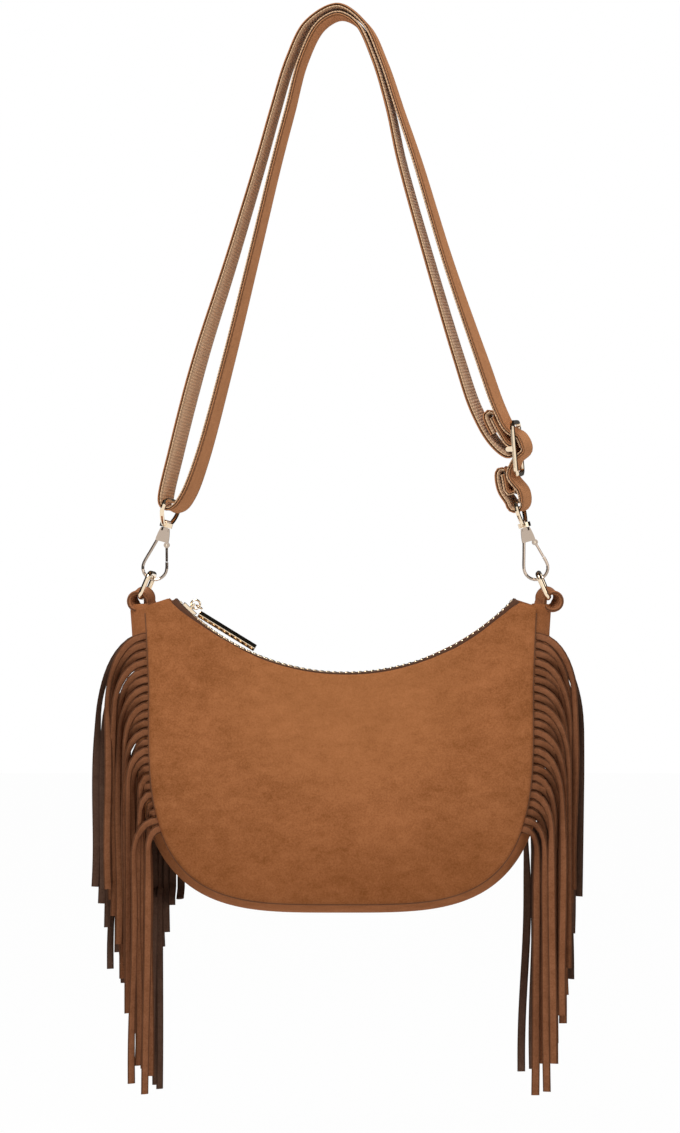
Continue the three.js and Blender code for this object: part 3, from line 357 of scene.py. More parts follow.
def webbing_material():
    material, tree, shader = new_material("webbing")
    place_at = add(tree, "ShaderNodeTexCoord")
    across, along = split_uv(tree, place_at)
    column = maths(tree, "FRACT", maths(tree, "DIVIDE", across, RIB_COLUMN))
    zig = maths(tree, "ABSOLUTE", maths(tree, "SUBTRACT", column, 0.5))
    phase = maths(tree, "ADD", maths(tree, "DIVIDE", along, RIB_PITCH), maths(tree, "MULTIPLY", zig, 0.5))
    rib = maths(tree, "ABSOLUTE", maths(tree, "SUBTRACT", maths(tree, "FRACT", phase), 0.5))
    rib = maths(tree, "MULTIPLY", rib, 2.0)
    valley = maths(tree, "MULTIPLY", maths(tree, "SUBTRACT", 1.0, rib), 0.9)
    tint = mix_color(tree, valley, srgb(240, 200, 157), srgb(188, 148, 113))
    tint = mix_color(tree, fleck(tree, place_at, 900.0, 0.0, 0.35), tint, srgb(200, 160, 126))
    rim = border(tree, across, STRAP_W / 2, 2.0, 0.25)
    tint = mix_color(tree, maths(tree, "MULTIPLY", rim, 0.4), tint, srgb(66, 42, 28))
    bump = add(tree, "ShaderNodeBump", {"Height": rib, "Strength": 0.6, "Distance": 0.0006})
    tree.links.new(tint, shader.inputs["Base Color"])
    tree.links.new(bump.outputs[0], shader.inputs["Normal"])
    shader.inputs["Roughness"].default_value = 0.9
    shader.inputs["Sheen Weight"].default_value = 0.2
    return material


def cloth(name, color, scale):
    material, tree, shader = new_material(name)
    place_at = add(tree, "ShaderNodeTexCoord")
    weave = fleck(tree, place_at, scale, 0.0, 1.0)
    dark = tuple(c * 0.6 for c in color[:3]) + (1.0,)
    tree.links.new(mix_color(tree, weave, dark, color), shader.inputs["Base Color"])
    bump = add(tree, "ShaderNodeBump", {"Height": weave, "Strength": 0.3, "Distance": 0.0003})
    tree.links.new(bump.outputs[0], shader.inputs["Normal"])
    shader.inputs["Roughness"].default_value = 0.9
    return material


def gold(name, color, roughness):
    material, tree, shader = new_material(name)
    place_at = add(tree, "ShaderNodeTexCoord")
    tree.links.new(fleck(tree, place_at, 350.0, roughness - 0.04, roughness + 0.04), shader.inputs["Roughness"])
    shader.inputs["Base Color"].default_value = color
    shader.inputs["Metallic"].default_value = 1.0
    return material


# The panel carries painted light: a painted highlight below the mouth's middle and painted shade towards the bottom
PANEL = suede("panel_suede", srgb(148, 87, 43), contrast=1.0, painted_light=True)
GUSSET = suede("gusset_suede", srgb(149, 88, 46), contrast=0.8)
# A darker suede for the seam rolls: painted shade for the shadow line along the seams
SEAM_SHADE = suede("seam_shade_suede", srgb(108, 66, 40))
FRINGE = suede("fringe_suede", srgb(130, 78, 46), contrast=0.8, edge=STRIP_WIDTH / 2, thread=0.0)
# The back fringe uses the fringe suede made darker: painted shade on the strips behind
BACK_FRINGE_SHADE = suede("back_fringe_shade_suede", srgb(82, 54, 40), contrast=0.6, edge=STRIP_WIDTH / 2, thread=0.0)
STRAP = suede("strap_suede", srgb(186, 126, 82), edge=STRAP_W / 2, wide=1.9, bare=0.25)
TAB = suede("tab_suede", srgb(150, 94, 58), edge=7.5)
WEBBING = webbing_material()
TAPE = cloth("zip_tape", srgb(100, 63, 40), 1200.0)
LINING = cloth("lining_cloth", srgb(96, 74, 56), 900.0)
GOLD = gold("pale_gold", (0.90, 0.73, 0.53, 1.0), 0.10)
HOOK = gold("hook_gold", (0.52, 0.42, 0.34, 1.0), 0.10)
TEETH = gold("zip_gold", (0.84, 0.65, 0.43, 1.0), 0.22)


# Sections swept along lines: fringe, strap, seam rolls, tabs and rings

def sweep_tree():
    """Carries a section along lines. Their points say which way the width lies, how wide it is and how far along."""
    tree = bpy.data.node_groups.new("section_along_lines", "GeometryNodeTree")
    face = tree.interface
    face.new_socket("Geometry", in_out="INPUT", socket_type="NodeSocketGeometry")
    face.new_socket("Section", in_out="INPUT", socket_type="NodeSocketObject")
    face.new_socket("Width", in_out="INPUT", socket_type="NodeSocketFloat")
    face.new_socket("Thickness", in_out="INPUT", socket_type="NodeSocketFloat")
    face.new_socket("Material", in_out="INPUT", socket_type="NodeSocketMaterial")
    face.new_socket("Geometry", in_out="OUTPUT", socket_type="NodeSocketGeometry")
    given, out = tree.nodes.new("NodeGroupInput"), tree.nodes.new("NodeGroupOutput")

    def named(name, kind):
        return add(tree, "GeometryNodeInputNamedAttribute", {"Name": name}, data_type=kind).outputs[0]

    lines = add(tree, "GeometryNodeMeshToCurve", {"Mesh": given.outputs["Geometry"]})
    turned = add(tree, "GeometryNodeSetCurveNormal",
                 {"Curve": lines.outputs[0], "Normal": named("width_way", "FLOAT_VECTOR")}, mode="FREE")
    info = add(tree, "GeometryNodeObjectInfo", {"Object": given.outputs["Section"]})
    section = add(tree, "GeometryNodeMeshToCurve", {"Mesh": info.outputs["Geometry"]})
    size = add(tree, "ShaderNodeCombineXYZ", {0: given.outputs["Width"], 1: given.outputs["Thickness"], 2: 1.0})
    fitted = add(tree, "GeometryNodeTransform", {"Geometry": section.outputs[0], "Scale": size.outputs[0]})
    here = add(tree, "ShaderNodeSeparateXYZ", {0: add(tree, "GeometryNodeInputPosition").outputs[0]})
    across = maths(tree, "DIVIDE", here.outputs[0], MM)
    marked = add(tree, "GeometryNodeStoreNamedAttribute",
                 {"Geometry": fitted.outputs[0], "Name": "across", "Value": across},
                 data_type="FLOAT", domain="POINT")
    solid = add(tree, "GeometryNodeCurveToMesh", {
        "Curve": turned.outputs[0], "Profile Curve": marked.outputs[0],
        "Scale": named("swell", "FLOAT"), "Fill Caps": True})
    spot = add(tree, "ShaderNodeCombineXYZ", {0: named("across", "FLOAT"), 1: named("along", "FLOAT"), 2: 0.0})
    mapped = add(tree, "GeometryNodeStoreNamedAttribute",
                 {"Geometry": solid.outputs[0], "Name": "size_mm", "Value": spot.outputs[0]},
                 data_type="FLOAT2", domain="CORNER")
    real = add(tree, "GeometryNodeRealizeInstances", {"Geometry": mapped.outputs[0]})
    paint = add(tree, "GeometryNodeSetMaterial", {"Geometry": real.outputs[0], "Material": given.outputs["Material"]})
    tree.links.new(paint.outputs[0], out.inputs[0])
    return tree


SWEEP = sweep_tree()


def run_nodes(obj, tree, inputs, name):
    """Gives obj the tree with these inputs and returns the finished plain mesh. obj is removed."""
    modifier = obj.modifiers.new("shape", "NODES")
    modifier.node_group = tree
    for socket in tree.interface.items_tree:
        if socket.in_out == "INPUT" and socket.name in inputs:
            modifier[socket.identifier] = inputs[socket.name]
    bpy.context.view_layer.update()
    mesh = bpy.data.meshes.new_from_object(obj.evaluated_get(bpy.context.evaluated_depsgraph_get()))
    mesh.name = name
    bpy.data.objects.remove(obj)
    work = bmesh.new()
    work.from_mesh(mesh)
    bmesh.ops.recalc_face_normals(work, faces=work.faces)
    work.to_mesh(mesh)
    work.free()
    mesh.shade_smooth()
    return mesh


def line_object(name, points, edges):
    mesh = bpy.data.meshes.new(name)
    mesh.from_pydata((np.asarray(points, float) * MM).tolist(), edges, [])
    obj = bpy.data.objects.new(name, mesh)
    bpy.context.scene.collection.objects.link(obj)
    return obj


def sweep(name, lines, ways, section, width, thickness, material, swells=None, closed=False):
    """One mesh of a section carried along each of the lines."""
    edges, alongs, start = [], [], 0
    for line in lines:
        edges += [(start + i, start + i + 1) for i in range(len(line) - 1)]
        edges += [(start + len(line) - 1, start)] if closed else []
        alongs.append(lengths(line))
        start += len(line)
    obj = line_object(name + "_lines", np.concatenate(lines), edges)
    values = obj.data.attributes.new("width_way", "FLOAT_VECTOR", "POINT")
    values.data.foreach_set("vector", np.concatenate(ways).ravel())
    values = obj.data.attributes.new("along", "FLOAT", "POINT")
    values.data.foreach_set("value", np.concatenate(alongs))
    values = obj.data.attributes.new("swell", "FLOAT", "POINT")
    values.data.foreach_set("value", np.ones(start) if swells is None else np.concatenate(swells))
    loop = [(x, y, 0) for x, y in np.asarray(section) / MM]
    outline_item = line_object(name + "_section", loop, [(i, (i + 1) % len(loop)) for i in range(len(loop))])
    mesh = run_nodes(obj, SWEEP, {"Section": outline_item, "Width": width * MM, "Thickness": thickness * MM,
                                  "Material": material}, name)
    bpy.data.objects.remove(outline_item)
    return bpy.data.objects.new(name, mesh)


def square_to(path, way, closed=False):
    """The given direction, made square to the line at each of its points."""
    t = tangents(path, closed)
    way = np.broadcast_to(np.asarray(way, float), path.shape)
    return unit(way - t * (way * t).sum(axis=1, keepdims=True))


# The bag's form: the seam line, its depth and the pillow between

def seam_points(count):
    """Seam from the left corner round the bottom to the right corner, evenly spaced, from the bag's middle."""
    angle = np.linspace(math.pi, 2 * math.pi, 2000)
    reach = (np.abs(np.cos(angle) / HALF_W) ** ROUND + np.abs(np.sin(angle) / BOTTOM_B) ** ROUND) ** (-1 / ROUND)
    line = np.stack([reach * np.cos(angle), np.zeros_like(angle), WIDEST_Z + reach * np.sin(angle)], axis=1)
    line = np.vstack([[-CORNER_X, 0, CORNER_Z], line, [CORNER_X, 0, CORNER_Z]])
    at = lengths(line)
    want = np.linspace(0, at[-1], count)
    return np.stack([np.interp(want, at, line[:, k]) for k in range(3)], axis=1), want


def ease(t):
    t = np.clip(t, 0, 1)
    return t * t * (3 - 2 * t)


def rim_depth(z):
    return MOUTH_DEPTH + (SEAM_DEPTH - MOUTH_DEPTH) * ease((CORNER_Z - z) / DEPTH_RUN)


def arc_point(angle, y, above):
    r = MOUTH_R - above
    return np.array([BAG_X + r * math.sin(angle), y, ARC_Z - r * math.cos(angle)])


MIDDLE = np.array([0.0, 0.0, -478.0])
PEAK_X = MOUTH_R * math.sin(MOUTH_HALF)
PEAK_Z = ARC_Z - MOUTH_R * math.cos(MOUTH_HALF)


def top_edge(x):
    """Height of the panel's top edge at a distance from the bag's middle."""
    x = np.abs(x)
    arc = ARC_Z - np.sqrt(np.clip(MOUTH_R ** 2 - np.minimum(x, PEAK_X) ** 2, 0, None))
    return np.where(x < PEAK_X, arc, PEAK_Z + (CORNER_Z - PEAK_Z) * (x - PEAK_X) / (CORNER_X - PEAK_X))


def panel_depth(x, z):
    """Half depth of the bag's outside: thin at the mouth, wider to the seam below it, with a soft belly."""
    below = np.clip(top_edge(x) - z, 0, None)
    rim = MOUTH_DEPTH + (SEAM_DEPTH - MOUTH_DEPTH) * ease(below / DEPTH_RUN)
    low = np.minimum(z - WIDEST_Z, 0)
    inside = np.clip(1 - np.abs(x / HALF_W) ** ROUND - np.abs(low / BOTTOM_B) ** ROUND, 0, 1)
    return rim + BELLY * inside ** 0.6 * (1 - np.exp(-below / 40))


def outline():
    seam, _ = seam_points(140)
    angle = np.linspace(MOUTH_HALF, -MOUTH_HALF, 70)
    mouth = np.stack([MOUTH_R * np.sin(angle), 0 * angle, ARC_Z - MOUTH_R * np.cos(angle)], axis=1)
    return np.vstack([seam, mouth])


# How the mouth line lies off its plain arc: the right half of the front hangs lower and its peak further out
MOUTH_AT = (-115.7, -101.7, -96, -86, -66, -47, -26, 0, 24, 45, 67, 80, 89, 98, 101.7, 115.7)
MOUTH_DROP = (0, 0, 0.2, -1.0, -1.4, -0.4, 0, 0.5, 1.2, 1.6, 2.2, 1.5, 0.6, 1.0, 2.6, 0)
PEAK_AT = (-115.7, -101.7, -80, 60, 101.7, 115.7)
PEAK_OUT = (-1.0, -1.4, 0, 0, 4.6, 0.6)


def hang(points, side=0):
    """Lets points near the mouth hang as the mouth line does, sagged with use. The back's right peak stands higher.
    """
    near = np.exp(-np.clip(top_edge(points[:, 0]) - points[:, 2], 0, None) / 30)
    back = ease((points[:, 0] - 20) / 40) if side > 0 else 0.0
    moved = points.copy()
    moved[:, 0] += PANEL_X + near * np.interp(points[:, 0], PEAK_AT, PEAK_OUT) * (1 - 0.5 * back)
    moved[:, 2] -= near * np.interp(points[:, 0], MOUTH_AT, MOUTH_DROP) * (1 - 0.75 * back)
    return moved


PANEL_SHARES = np.concatenate([np.linspace(0.02, 0.9, 22), [0.94, 0.97, 0.985, 0.995]])


def panel(side):
    points = outline()
    rings = []

    def ring(share, inward, tuck=0.0):
        p = MIDDLE + (points - MIDDLE) * share
        wave = 0.9 * np.sin(p[:, 0] / 31 + 0.6 * side) * np.sin(p[:, 2] / 27) * (1 - share ** 4)
        p[:, 1] = side * (panel_depth(p[:, 0], p[:, 2]) + wave - inward - tuck)
        return hang(p, side)

    rings += [ring(s, 0) for s in PANEL_SHARES]
    rings += [ring(1.0, 0, 0.5), ring(1.002, 1.0), ring(1.0, SKIN - 0.4)]
    rings += [ring(s, SKIN) for s in PANEL_SHARES[::-1]]
    name = "front_panel_suede" if side < 0 else "back_panel_suede"
    node = "front_panel" if side < 0 else "back_panel"
    return Skin().loft(rings).build(name, PANEL, replaces=[node], slot="suede")


def lining():
    points = outline()
    rings = []
    inside = PANEL_SHARES[PANEL_SHARES < 0.95]
    for side, shares in ((-1, inside), (1, inside[::-1])):
        for share in shares:
            p = MIDDLE + (points - MIDDLE) * share
            p[:, 1] = side * (panel_depth(p[:, 0], p[:, 2]) - SKIN - 1.6)
            rings.append(hang(p, side))
    return Skin().loft(rings).build("lining_pouch", LINING, replaces=["lining"], slot="lining_cloth")


panel(-1)
panel(1)
lining()


def gusset():
    seam, _ = seam_points(220)
    t = tangents(seam)
    out = np.stack([t[:, 2], 0 * t[:, 0], -t[:, 0]], axis=1)
    seam[[0, -1], 2] += 1.6
    shares = np.linspace(-1, 1, 21)
    rings = []
    for p, o in zip(seam, out):
        half = rim_depth(p[2]) - SKIN - 0.6
        bulge = (9.8 - 2.0 * ease((-440 - p[2]) / 70)) * (1 - np.abs(shares) ** 2.2)
        outer = p + o * bulge[:, None]
        inner = p + o * (bulge - 1.8)[:, None]
        outer[:, 1] = inner[:, 1] = shares * half
        rings.append(hang(np.vstack([outer, inner[::-1]])))
    return Skin().loft(rings).build("gusset_suede", GUSSET, replaces=["gusset"], slot="suede")


gusset()

# A thin roll along each panel's seam, in a darker suede that gives the seam's shadow line as painted shade
for side, name in ((-1, "front_seam"), (1, "back_seam")):
    line, _ = seam_points(260)
    line[:, 1] = side * (rim_depth(line[:, 2]) - SKIN + 0.3)
    line = hang(line, side)[2:-2]
    roll = sweep(name, [line], [square_to(line, (0, 1, 0))], round_section(8), 1.8, 1.8, SEAM_SHADE)
    place(roll, SEAM_SHADE)


# Fringe

STRIPS = 23
PITCH = 5.2
STRIP_LENGTH = 166.0
FRINGE_START = 15.0
# How far a strip turns from flat as it bends over
BEND_TURN = 0.95
# How far out the lowest and the topmost strip of a side hang from the seam
REACH = {(-1, -1): (0.5, 22.5), (-1, 1): (0.0, 31.5), (1, -1): (10.5, 23.0), (1, 1): (8.0, 27.0)}
# Strips that hang out of turn: in front of the others, or inward behind the back panel
TUCKED = {(-1, -1, 21): 12.5, (-1, -1, 22): 5.5, (-1, 1, 1): -19.5, (-1, 1, 2): -14.0,
          (-1, 1, 4): -9.0, (-1, 1, 6): -4.5, (-1, 1, 8): -1.0,
          (1, 1, 21): 8.0, (1, 1, 22): 5.0}


def fringe(side, face, name, material):
    seam, at = seam_points(900)
    t = tangents(seam)
    lines, ways, swells = [], [], []
    for i in range(STRIPS):
        from_corner = FRINGE_START + (i + 0.5) * PITCH
        along = from_corner if side < 0 else at[-1] - from_corner
        k = int(np.argmin(np.abs(at - along)))
        root, tang = seam[k], t[k]
        out = np.array([tang[2], 0.0, -tang[0]])
        down = np.array([-out[2], 0, out[0]])
        down = down * (1 if down[2] < 0 else -1)
        y = face * (rim_depth(root[2]) - SKIN - 1.2)
        share = i / (STRIPS - 1)
        near, far = REACH[side, face]
        reach = far + (near - far) * share + rng.uniform(-2.2, 2.2)
        column = face * (4.0 - 19.0 * ((i * 9) % STRIPS) / STRIPS + rng.uniform(-0.6, 0.6))
        if face > 0:
            reach += 3.0 * math.sin(i * 2.4)
        tucked = TUCKED.get((side, face, i))
        if tucked is not None:
            reach = tucked
            column = face * (7.0 + 0.3 * i)
        drop = max(abs(reach), 6.0) * rng.uniform(1.5, 1.9)
        length = STRIP_LENGTH * (1 + rng.uniform(-0.025, 0.02))
        facing = rng.uniform(-0.1, 0.75)
        start = root + out * 1.5
        start = np.array([start[0], y, start[2]])
        points = [start - out * 3.0, start]
        for q in (0.12, 0.25, 0.4, 0.55, 0.7, 0.85, 1.0):
            a = q * math.pi / 2
            bend = (side * reach * math.sin(a), column * ease(q), -drop * (1 - math.cos(a)))
            points.append(start + np.array(bend))
        used = lengths(np.array(points))[-1]
        free = max(30.0, length - used)
        sway_x, sway_y = rng.uniform(-2.0, 2.0), rng.uniform(-2.5, 2.5)
        curl = rng.uniform(-1.2, 1.2)
        top = points[-1]
        for s in np.linspace(0.12, 1, 9):
            points.append(top + np.array([sway_x * s ** 1.6 + curl * math.sin(s * 5.5),
                                          sway_y * s ** 1.6, -free * s]))
        path = resample(spline(points, 4), 5.0)
        behind = panel_depth(path[:, 0], path[:, 2]) + 1.4
        over = (np.abs(path[:, 0]) < HALF_W - 1) & (lengths(path) > 4) & (path[:, 2] > WIDEST_Z - BOTTOM_B)
        path[:, 1] = np.where(over, face * np.maximum(face * path[:, 1], behind), path[:, 1])
        path[:, 0] += PANEL_X
        d = lengths(path)
        tan = tangents(path)
        turn = ease((d - 3.0) / (0.7 * used)) * BEND_TURN
        turn = turn + (facing - BEND_TURN) * ease((d - 0.8 * used) / 45)
        turn = turn + rng.uniform(-0.25, 0.25) * np.sin(d / 37 + i)
        depth_way = unit(np.array([0.0, 1.0, 0.0]) - tan * tan[:, 1:2])
        flat_way = np.cross(depth_way, tan)
        flat_way = flat_way * np.sign(flat_way @ down)[:1]
        lines.append(path)
        ways.append(flat_way * np.cos(turn)[:, None] + depth_way * np.sin(turn)[:, None])
        swells.append(np.full(len(path), 1 + rng.uniform(-0.06, 0.04)))
    band, band_out = [], []
    steps = np.linspace(FRINGE_START, FRINGE_START + STRIPS * PITCH, 40)
    for s in steps:
        along = s if side < 0 else at[-1] - s
        k = int(np.argmin(np.abs(at - along)))
        out = np.array([t[k][2], 0.0, -t[k][0]])
        y = face * (rim_depth(seam[k][2]) - SKIN - 1.2)
        band.append(seam[k] - out * 0.6 + np.array([PANEL_X, y, 0]))
        band_out.append(out)
    lines.append(np.array(band))
    ways.append(np.array(band_out))
    swells.append(np.full(len(band), 0.76))
    node = f"{'left' if side < 0 else 'right'}_{'front' if face < 0 else 'back'}_fringe"
    obj = sweep(name, lines, ways, strip_section(4), STRIP_WIDTH, 1.0, material, swells)
    place(obj, material, replaces=[node])
    return obj


fringe(-1, -1, "left_front_fringe_strips", FRINGE)
# The back strips take the darker suede, which is painted shade
fringe(-1, 1, "left_back_fringe_strips", BACK_FRINGE_SHADE)
fringe(1, -1, "right_front_fringe_strips", FRINGE)
fringe(1, 1, "right_back_fringe_strips", BACK_FRINGE_SHADE)


# Strap

RIGHT_EYE = np.array([106.974, 0, -289.183])
LEFT_EYE = np.array([-100.574, 0, -289.183])
BUCKLE = np.array([106.3, 0, -257.0])
CENTRE_BAR = BUCKLE - [3.6, 0, 0]


def turn_round(bar, radius, degrees):
    """Points round a bar at angles counted from its right side towards its top."""
    return [(bar[0] + radius * math.cos(a), bar[2] + radius * math.sin(a)) for a in map(math.radians, degrees)]


# The strap's middle line as x and z, from its right hem over the crest, round the left eye and back to the buckle
ROUTE = [
    *turn_round(RIGHT_EYE + [-3.2, 0, 8.0], 1.6, [0, -45, -90, -135, -180]),
    (RIGHT_EYE[0] - 5.5, RIGHT_EYE[2] + 12.2),
    *turn_round(RIGHT_EYE + [-8.3, 0, 17.3], 1.8, [0, 45, 90, 135, 180]),
    (RIGHT_EYE[0] - 9.9, RIGHT_EYE[2] + 12.6), (RIGHT_EYE[0] - 8.2, RIGHT_EYE[2] + 6.5),
    *turn_round(RIGHT_EYE, EYE_TURN, [180, 225, 270, 315, 360]),
    (RIGHT_EYE[0] + 3.2, RIGHT_EYE[2] + 6.5),
    (BUCKLE[0] - 2.6, BUCKLE[2] - 16), (BUCKLE[0] + 0.3, BUCKLE[2] - 7.4), (BUCKLE[0] + 5.4, BUCKLE[2] - 1),
    (BUCKLE[0] + 2.6, BUCKLE[2] + 7), (BUCKLE[0] - 4.2, BUCKLE[2] + 11.6),
    (96, -234), (85.2, -204), (64.5, -144), (46.2, -84), (36, -54), (25.8, -24), (15.6, -3),
    (0, 7.2),
    (-18.6, -3), (-29.4, -24), (-38.7, -54), (-47.1, -84), (-65.1, -144), (-84, -204), (-98, -258),
    *turn_round(LEFT_EYE, EYE_TURN, [180, 225, 270]),
    (LEFT_EYE[0] + 4.5, LEFT_EYE[2] - 2.6), (LEFT_EYE[0] + 9.4, LEFT_EYE[2] + 4),
    (-83.1, -264), (-66.9, -204), (-52.2, -144), (-37.8, -84), (-29.9, -54), (-22.0, -24), (-11.4, -3.5),
    (0, 2.4),
    (11.0, -3.1), (21.4, -24), (30.4, -54), (36.9, -84), (53.7, -144), (71.7, -204), (81.9, -234),
    (CENTRE_BAR[0] - 9.5, CENTRE_BAR[2] + 3.5),
    *turn_round(CENTRE_BAR, BAR_TURN, [-110, -60, -10, 40, 90]),
    (CENTRE_BAR[0] - 4.2, CENTRE_BAR[2] + 10), (CENTRE_BAR[0] - 8.2, CENTRE_BAR[2] + 17.5),
    *turn_round(CENTRE_BAR + [-11.0, 0, 19.2], 2.0, [28, 73, 118, 163, 208]),
    (CENTRE_BAR[0] - 10.5, CENTRE_BAR[2] + 13), (CENTRE_BAR[0] - 8.7, CENTRE_BAR[2] + 9.6),
]


def width_way(x):
    """Which way the strap's width lies: nearly front to back at the crest, and turned more towards its ends."""
    share = np.clip(np.asarray(x) / 88.0, -1, 1)
    end = np.where(share < 0, math.radians(16), math.radians(18))
    crest = math.radians(8)
    twist = crest + (end - crest) * np.abs(share) ** np.where(share < 0, 2.2, 1.5)
    lean = -share * math.radians(15)
    return np.stack([np.sin(twist) * np.cos(lean), np.cos(twist), -np.sin(twist) * np.sin(lean)], axis=-1)


route = resample(spline([(x, 0, z) for x, z in ROUTE], 12), ROUTE_STEP)
route_width = square_to(route, width_way(route[:, 0]))
route_face = unit(np.cross(route_width, tangents(route)))
for layer, name, material, node, slot in (
        (1, "strap_suede_face", STRAP, "strap_suede", "suede"),
        (-1, "strap_webbing_face", WEBBING, "strap_webbing", "webbing")):
    line = route + route_face * (layer * (LAYER + LAYER_GAP) / 2)
    obj = sweep(name, [line], [route_width], strip_section(12), STRAP_W, LAYER, material)
    place(obj, material, replaces=[node])


# Hardware: rings made again, the other metal as the CAD has it

def rounded_loop(half_y, half_z, corner):
    points = []
    for sy, sz, start in ((1, 1, 0), (-1, 1, 90), (-1, -1, 180), (1, -1, 270)):
        for step in np.linspace(0, 90, 9):
            a = math.radians(start + step)
            points.append((0, sy * (half_y - corner) + corner * math.cos(a),
                           sz * (half_z - corner) + corner * math.sin(a)))
    return np.array(points)


def frame_at(position, lean, turn=0.0):
    """A local frame that is turned about its own Z and then leaned about Y."""
    c, s = math.cos(turn), math.sin(turn)
    spin = np.array([[c, -s, 0], [s, c, 0], [0, 0, 1]])
    c, s = math.cos(lean), math.sin(lean)
    tip = np.array([[c, 0, s], [0, 1, 0], [-s, 0, c]])
    matrix = tip @ spin
    return lambda p: np.asarray(p, float) @ matrix.T + np.asarray(position, float)


for side_name, side, ring_x in (("left", -1, -118.714), ("right", 1, 125.114)):
    to_ring = frame_at((ring_x, 0, RING_Z), -side * math.radians(23), -math.radians(6))
    loop = to_ring(rounded_loop(RING_HALF_WIDTH, RING_HALF_HEIGHT, RING_CORNER) + [0, 0, RING_HALF_HEIGHT])
    ring = f"{side_name}_ring"
    flat = to_ring([(1, 0, 0)]) - to_ring([(0, 0, 0)])
    obj = sweep(ring + "_gold", [loop], [square_to(loop, flat, True)], round_section(16),
                RING_WIRE, RING_WIRE, GOLD, closed=True)
    place(obj, GOLD, ring, [ring])


def soften(name, material, width, slim=0.0):
    """A CAD metal piece shown as it is, a little slimmer if asked, with its edges rounded."""
    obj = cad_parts[name]
    obj.data.materials.clear()
    obj.data.materials.append(material)
    if slim:
        thin = obj.modifiers.new("slim", "DISPLACE")
        thin.mid_level = 0.0
        thin.strength = -slim * MM
    bevel = obj.modifiers.new("soft_edges", "BEVEL")
    bevel.width = width * MM
    bevel.segments = 2
    bevel.limit_method = "ANGLE"
    bevel.angle_limit = math.radians(40)
    obj.data.shade_smooth()
    normals = obj.modifiers.new("flat_faces", "WEIGHTED_NORMAL")
    normals.keep_sharp = True


for name in ("left_gate_pin", "right_gate_pin", "left_eye", "right_eye", "slide_buckle", "zip_slider",
             "front_top_stop", "back_top_stop", "bottom_stop"):
    soften(name, GOLD, 0.12)
for name in ("left_hook", "right_hook", "left_gate", "right_gate"):
    soften(name, HOOK, 0.5, slim=0.22)
soften("puller_ring", GOLD, 0.05)


# Puller bar: a square bar standing on its edge, with a small eye for the ring
bar_start = np.array([-84.477, 0, -352.219])
bar_way = np.array([0.852, 0, -0.5235])
bar_up = np.array([0.5235, 0, 0.852])
bar_line = np.array([-84.6, 0, -356.2]) + np.array([0, 0.3, 20.0, 39.2, 39.5])[:, None] * bar_way
edge_way = np.tile(0.766 * bar_up + [0, 0.643, 0], (5, 1))
edges = np.array([0.9, 1.0, 1.0, 1.0, 0.9])
turn = np.linspace(0, 2 * math.pi, 24, endpoint=False)
eye_line = bar_start + 1.75 * (np.cos(turn)[:, None] * bar_way + np.sin(turn)[:, None] * [0, 1, 0])
square = np.array([(-0.5, -0.42), (-0.42, -0.5), (0.42, -0.5), (0.5, -0.42),
                   (0.5, 0.42), (0.42, 0.5), (-0.42, 0.5), (-0.5, 0.42)])
bar = sweep("puller_bar_gold", [bar_line], [edge_way], square, BAR_SIZE, BAR_SIZE, GOLD, [edges])
bar.data.shade_flat()
place(bar, GOLD, "puller_bar", ["puller_bar"])
eye = sweep("puller_eye_gold", [eye_line], [np.tile(bar_up, (24, 1))], round_section(12),
            1.3, 1.3, GOLD, closed=True)
place(eye, GOLD, "puller_bar")


# Tabs

for side_name, side in (("left", -1), ("right", 1)):
    centre = np.array([BAG_X + side * 122.5, 0, -347.764])
    tail_x = BAG_X + side * 116.3
    path = [(tail_x, 0, -370.0), (tail_x, 0, -360.0), (tail_x + side * 0.3, 0, -352.0)]
    angles = np.radians(np.linspace(190, -185, 28))
    path += [tuple(centre + np.array([side * 5.1 * math.cos(a), 0, 5.1 * math.sin(a)])) for a in angles]
    path = resample(spline(path, 4), 1.0)
    tab = f"{side_name}_tab"
    rise = ease((path[:, 2:] + 358) / 8)
    tilt = np.array([0.0, 1.0, 0.0]) * (1 - rise) + np.array([-side * 0.33, 0.92, 0.24]) * rise
    obj = sweep(tab + "_suede", [path], [square_to(path, tilt)], strip_section(10), 14.0, 2.8, TAB)
    place(obj, TAB, replaces=[tab])


# Zip: tapes, teeth and folded ends

for side, name in ((-1, "front_zip_tape"), (1, "back_zip_tape")):
    rings = []
    for a in np.linspace(-MOUTH_HALF, MOUTH_HALF, 90):
        profile = [(10.7, 0.4), (3.3, 0.4), (3.3, -0.4), (9.9, -0.4), (9.9, -6), (10.7, -6)]
        rings.append([arc_point(a, side * y, above) for y, above in profile])
    Skin().loft(rings).build(name + "_cloth", TAPE, replaces=[name], slot="tape_cloth", smooth=False)


